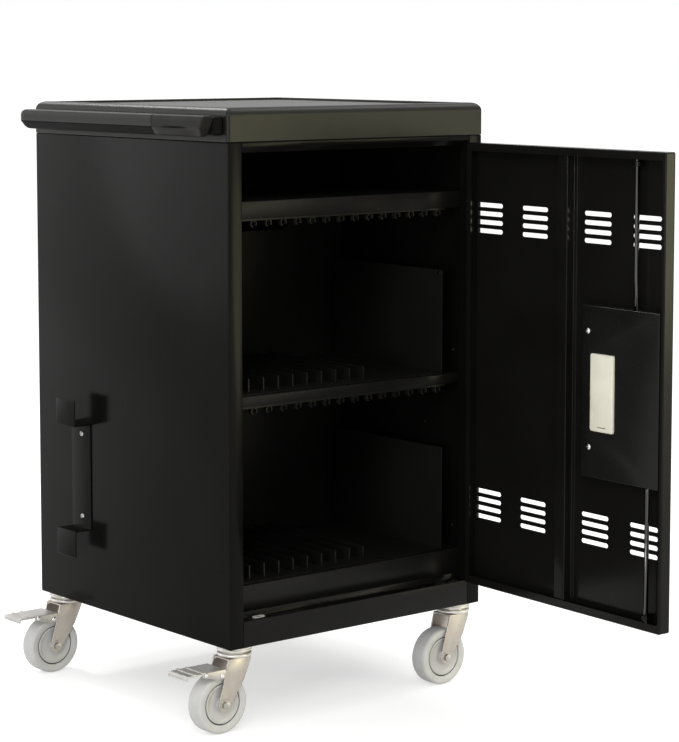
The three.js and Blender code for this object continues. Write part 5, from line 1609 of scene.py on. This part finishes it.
@dataclass
class Caster:
    """Swivel caster with a grey wheel."""

    place: str
    braked: bool
    wheel_radius: float = 0.051
    tyre_width: float = 0.034
    hub_radius: float = 0.0345
    shoulder: tuple[float, float] = (0.0045, 0.007)
    hub_width: float = 0.031
    groove: float = 0.0016
    crease: float = 0.004
    taper: float = 0.5
    second_rivet: tuple[float, float] = (-0.0335, 0.0062)

    def named(self, piece: str) -> str:
        """A node's or body's name at this caster."""
        return f"{piece}{self.place}"

    def middle(self) -> Vector:
        """Where the wheel's axle passes through its middle."""
        low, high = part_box(self.named("caster_tyre_"))
        return (low + high) / 2

    def tyre(self) -> None:
        """Builds the tyre."""
        r, half = self.wheel_radius, self.tyre_width / 2
        inner, (crown, across) = self.hub_radius + self.groove, self.shoulder
        arc = [
            (r - crown + crown * math.sin(a), half - across + across * math.cos(a))
            for a in (math.radians(d) for d in range(0, 91, 10))
        ]
        side = [(inner, self.hub_width / 2 - 0.004), (inner, self.hub_width / 2 - 0.0004), (inner + 0.0012, self.hub_width / 2 + 0.0006)]
        profile = [(x, -z) for x, z in side + arc] + (side + arc)[::-1]
        mesh = mesh_of(turned(profile, self.middle(), Axis.Y, 96), "tyre", 40)
        node = self.named("caster_tyre_")
        Frame.place(mesh, f"{node}_piece", self.named(Body.WHEEL.value), RUBBER, node)

    def hub(self) -> None:
        """Builds the hub, a smooth disc with a bead round its edge, and a near-black ring in the gap between it and the
        tyre, which paints the shade in that seam.
        """
        half, r = self.hub_width / 2, self.hub_radius - 0.0004
        boss = self.tyre_width / 2 + 0.0022
        bore = 0.0044
        side = [
            (bore, boss), (0.0098, boss), (0.011, boss - 0.0012), (0.0112, half - 0.0016), (0.018, half - 0.0022),
            (r - 0.0075, half - 0.0018), (r - 0.0045, half - 0.0012), (r - 0.0026, half + 0.0002),
            (r - 0.0012, half + 0.0003), (r - 0.0003, half - 0.0004), (r, half - 0.0014),
        ]
        profile = side + [(x, -z) for x, z in side[::-1]]
        mesh = mesh_of(turned(profile, self.middle(), Axis.Y, 96), "hub", 50)
        node = self.named("caster_hub_")
        body = self.named(Body.WHEEL.value)
        Frame.place(mesh, f"{node}_piece", body, HUB, node)
        # A near-black ring fills the gap between hub and tyre: painted shade of the seam.
        deep = half - 0.0022
        ring = [(r - 0.0002, -deep), (self.hub_radius + self.groove + 0.0002, -deep), (self.hub_radius + self.groove + 0.0002, deep), (r - 0.0002, deep)]
        mesh = mesh_of(turned(ring, self.middle(), Axis.Y, 96), "joint", 40)
        Frame.place(mesh, self.named("caster_joint_"), body, SEAM_SHADE)

    def race(self) -> None:
        """Builds the top plate and the grooved race under it."""
        low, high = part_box(self.named("caster_plate_"))
        centre, top = (low + high) / 2, high.z
        plate, ring = 0.031, 0.03
        profile = [
            (0.0, 0.0), (plate - 0.0004, 0.0), (plate, -0.0004), (plate, -0.0024), (plate - 0.0006, -0.003),
            (ring - 0.0012, -0.0032), (ring - 0.0002, -0.0044), (ring, -0.0056), (ring - 0.0003, -0.0068), (ring - 0.0012, -0.0078),
            (ring - 0.007, -0.0082), (ring - 0.007, -0.0108), (ring - 0.0012, -0.0112), (ring - 0.0002, -0.0124),
            (ring, -0.0138), (ring - 0.0003, -0.0152), (ring - 0.0014, -0.0166), (ring - 0.003, -0.017),
            (0.005, -0.017), (0.005, low.z + 0.004 - top), (0.009, low.z + 0.004 - top), (0.009, low.z + 0.0008 - top),
            (0.0082, low.z - top), (0.0, low.z - top),
        ]
        mesh = mesh_of(turned(profile, (centre.x, centre.y, top), Axis.Z, 96), "race", 40)
        node = self.named("caster_plate_")
        Frame.place(mesh, f"{node}_piece", Body.CABINET, BRIGHT_ZINC, node)

    def fork(self) -> None:
        """Builds the fork, its legs creased and drawn in towards the front."""
        node = self.named("caster_fork_")
        swivel = Frame.joint(self.named("swivel_"))
        line = swivel.x + self.crease

        def draw_in(bm: bmesh.types.BMesh) -> None:
            everything = bm.verts[:] + bm.edges[:] + bm.faces[:]
            bmesh.ops.bisect_plane(bm, geom=everything, plane_co=(line, 0.0, 0.0), plane_no=(1.0, 0.0, 0.0))
            for v in bm.verts:
                if v.co.x > line + 1e-6:
                    v.co.y = swivel.y + (v.co.y - swivel.y) * (1.0 - self.taper * (v.co.x - line) / 0.026)

        Frame.soften(node, self.named(Body.SWIVEL.value), ZINC, fold=0.0012, edge=0.0009, shape=draw_in)

    def axle(self) -> None:
        """Builds the axle's bolt, nut and washers."""
        body = self.named(Body.SWIVEL.value)
        Frame.soften(self.named("caster_axle_"), body, DULL_STEEL, fold=0.0006, edge=0.0006)
        low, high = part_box(self.named("caster_fork_"))
        centre = self.middle()
        washers = bmesh.new()
        for way, y in ((-1, low.y), (1, high.y)):
            ring = [(0.0045, 0.0), (0.0102, 0.0), (0.0102, way * 0.0009), (0.0098, way * 0.0013), (0.0045, way * 0.0013)]
            merge(washers, turned(ring, (centre.x, y, centre.z), Axis.Y, 40))
        Frame.place(mesh_of(washers, "washers", 35), self.named("axle_washers_"), body, ZINC)

    def pedal(self) -> None:
        """Builds the brake pedal and its rivets."""
        body = self.named(Body.PEDAL.value)
        Frame.soften(self.named("brake_pedal_"), body, PEDAL_PLATE, fold=0.001, edge=0.0008)
        pivot = Frame.joint(self.named("pedal_"))
        low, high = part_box(self.named("brake_pedal_"))
        rivets = bmesh.new()
        for way, y in ((-1, low.y), (1, high.y)):
            dome = [(0.0, 0.0), (0.0042, 0.0), (0.004, way * 0.0009), (0.0031, way * 0.0018), (0.0016, way * 0.0024), (0.0, way * 0.0026)]
            for out, up in ((0.0, 0.0), self.second_rivet):
                merge(rivets, turned(dome, (pivot.x + out, y, pivot.z + up), Axis.Y, 32))
        Frame.place(mesh_of(rivets, "rivets", 50), self.named("pedal_rivets_"), body, STEEL)

    def build(self) -> None:
        """Builds the caster's pieces."""
        self.tyre()
        self.hub()
        self.race()
        self.fork()
        self.axle()
        if self.braked:
            self.pedal()


# Studio


@dataclass
class Studio:
    """Plain pale floor, soft light and the camera."""

    camera_place: Point = (-2.5971, -3.1909, 1.153)
    camera_yaw: float = 39.421
    camera_pitch: float = 5.623
    lens: float = 116.4
    shift: float = -0.12
    floor_colour: RGB = (0.66, 0.66, 0.656)
    floor_lift: float = 0.57
    ambient: float = 0.6
    sky_strength: float = 0.7
    sky_angle: float = 60.0

    def camera(self) -> None:
        """Sets the camera at the picture's viewpoint."""
        made = bpy.data.cameras.new("camera")
        made.lens, made.sensor_width, made.shift_y = self.lens, 36.0, self.shift
        made.clip_end = 200.0
        carrier = bpy.data.objects.new("camera", made)
        carrier.location = self.camera_place
        carrier.rotation_euler = (math.radians(90 - self.camera_pitch), 0.0, math.radians(-self.camera_yaw))
        bpy.context.scene.collection.objects.link(carrier)
        bpy.context.scene.camera = carrier

    def sky(self) -> None:
        """Lights everything evenly from above."""
        made = bpy.data.lights.new("sky", "SUN")
        made.energy, made.angle = self.sky_strength, math.radians(self.sky_angle)
        bpy.context.scene.collection.objects.link(bpy.data.objects.new("sky", made))

    def lamp(self, name: str, at: Point, aim: Point, size: float, power: float, tint: RGB = (1.0, 1.0, 1.0)) -> None:
        """Hangs a soft lamp.

        Args:
            name: The lamp's name.
            at: Its place.
            aim: The point that it faces.
            size: Its width.
            power: Its power in watts.
            tint: Its colour.
        """
        made = bpy.data.lights.new(name, "AREA")
        made.shape, made.size, made.energy, made.color = "DISK", size, power, tint
        carrier = bpy.data.objects.new(name, made)
        carrier.visible_camera = False
        carrier.location = at
        carrier.rotation_euler = (Vector(aim) - Vector(at)).to_track_quat("-Z", "Y").to_euler()
        bpy.context.scene.collection.objects.link(carrier)

    @staticmethod
    def seen(tree: bpy.types.NodeTree) -> bpy.types.NodeSocket:
        """Adds a value that is 1 where a surface is seen directly, mirrored or through glass.

        Args:
            tree: The node tree.

        Returns:
            The value.
        """
        path = tree.nodes.new("ShaderNodeLightPath")
        first, second = tree.nodes.new("ShaderNodeMath"), tree.nodes.new("ShaderNodeMath")
        first.operation = second.operation = "MAXIMUM"
        tree.links.new(path.outputs["Is Camera Ray"], first.inputs[0])
        tree.links.new(path.outputs["Is Glossy Ray"], first.inputs[1])
        tree.links.new(first.outputs[0], second.inputs[0])
        tree.links.new(path.outputs["Is Transmission Ray"], second.inputs[1])
        return second.outputs[0]

    def floor(self) -> None:
        """Lays the floor, which reads as white and keeps the object's shadow."""
        made = Shading("pale_floor")
        blotches = made.noise(3.0, 3.0)
        pale = self.floor_colour
        made.feed("Base Color", made.blend(made.remap(blotches, 0.0, 1.0), pale, tuple(0.99 * c for c in pale)))
        made.set(Roughness=0.9, Specular_IOR_Level=0.0)
        made.shader.inputs["Emission Color"].default_value = (1.0, 1.0, 1.0, 1.0)
        lift = made.node("ShaderNodeMath", operation="MULTIPLY")
        lift.inputs[1].default_value = self.floor_lift
        made.tree.links.new(self.seen(made.tree), lift.inputs[0])
        made.feed("Emission Strength", lift.outputs[0])
        bm = bmesh.new()
        bmesh.ops.create_circle(bm, cap_ends=True, radius=60.0, segments=64)
        mesh = bpy.data.meshes.new("floor")
        bm.to_mesh(mesh)
        bm.free()
        mesh.materials.append(made.material)
        carrier = bpy.data.objects.new("floor", mesh)
        carrier.location.z = -0.0005
        bpy.context.scene.collection.objects.link(carrier)
        carrier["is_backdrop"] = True

    def world(self) -> None:
        """Surrounds the scene with white, which lights it less than it shows."""
        made = bpy.data.worlds.new("studio")
        bpy.context.scene.world = made
        made.use_nodes = True
        tree = made.node_tree
        back = tree.nodes["Background"]
        back.inputs["Color"].default_value = (1.0, 1.0, 1.0, 1.0)
        strength = tree.nodes.new("ShaderNodeMapRange")
        strength.inputs["To Min"].default_value = self.ambient
        strength.inputs["To Max"].default_value = 1.0
        tree.links.new(self.seen(tree), strength.inputs["Value"])
        tree.links.new(strength.outputs["Result"], back.inputs["Strength"])

    def build(self) -> None:
        """Sets the stage, the light and the camera."""
        bpy.context.scene.view_settings.view_transform = "Standard"
        self.world()
        self.floor()
        self.sky()
        self.lamp("key", (-2.5, -2.9, 3.0), (0.0, 0.1, 0.5), 1.6, 45.0)
        self.lamp("front", (2.35, -3.55, 0.8), (0.0, 0.0, 0.6), 1.5, 42.0, (1.0, 0.94, 0.55))
        self.lamp("side", (-2.6, 3.7, 1.85), (-0.2, 0.2, 0.8), 2.6, 23.0)
        self.lamp("rim", (0.0, 3.6, 4.1), (0.1, 0.0, 0.8), 0.9, 75.0)
        self.lamp("top", (2.4, -0.35, 3.7), (0.1, 0.0, 1.0), 1.6, 26.0)
        self.lamp("edge", (-3.6, -1.6, 0.75), (0.1, -0.1, 0.6), 0.7, 28.0)
        self.camera()


def main() -> None:
    """Builds the cart and its studio."""
    logging.basicConfig(level=logging.INFO, format="%(message)s")
    plain = Frame.load()
    assemblies: Iterable[object] = (
        Cabinet(), Worktop(), Bays(), FrontDoor(), RearDoor(), PowerGear(),
        Caster("front_left", True), Caster("front_right", False),
        Caster("rear_left", True), Caster("rear_right", False),
    )
    for assembly in assemblies:
        assembly.build()
    Studio().build()


if __name__ == "__main__":
    main()
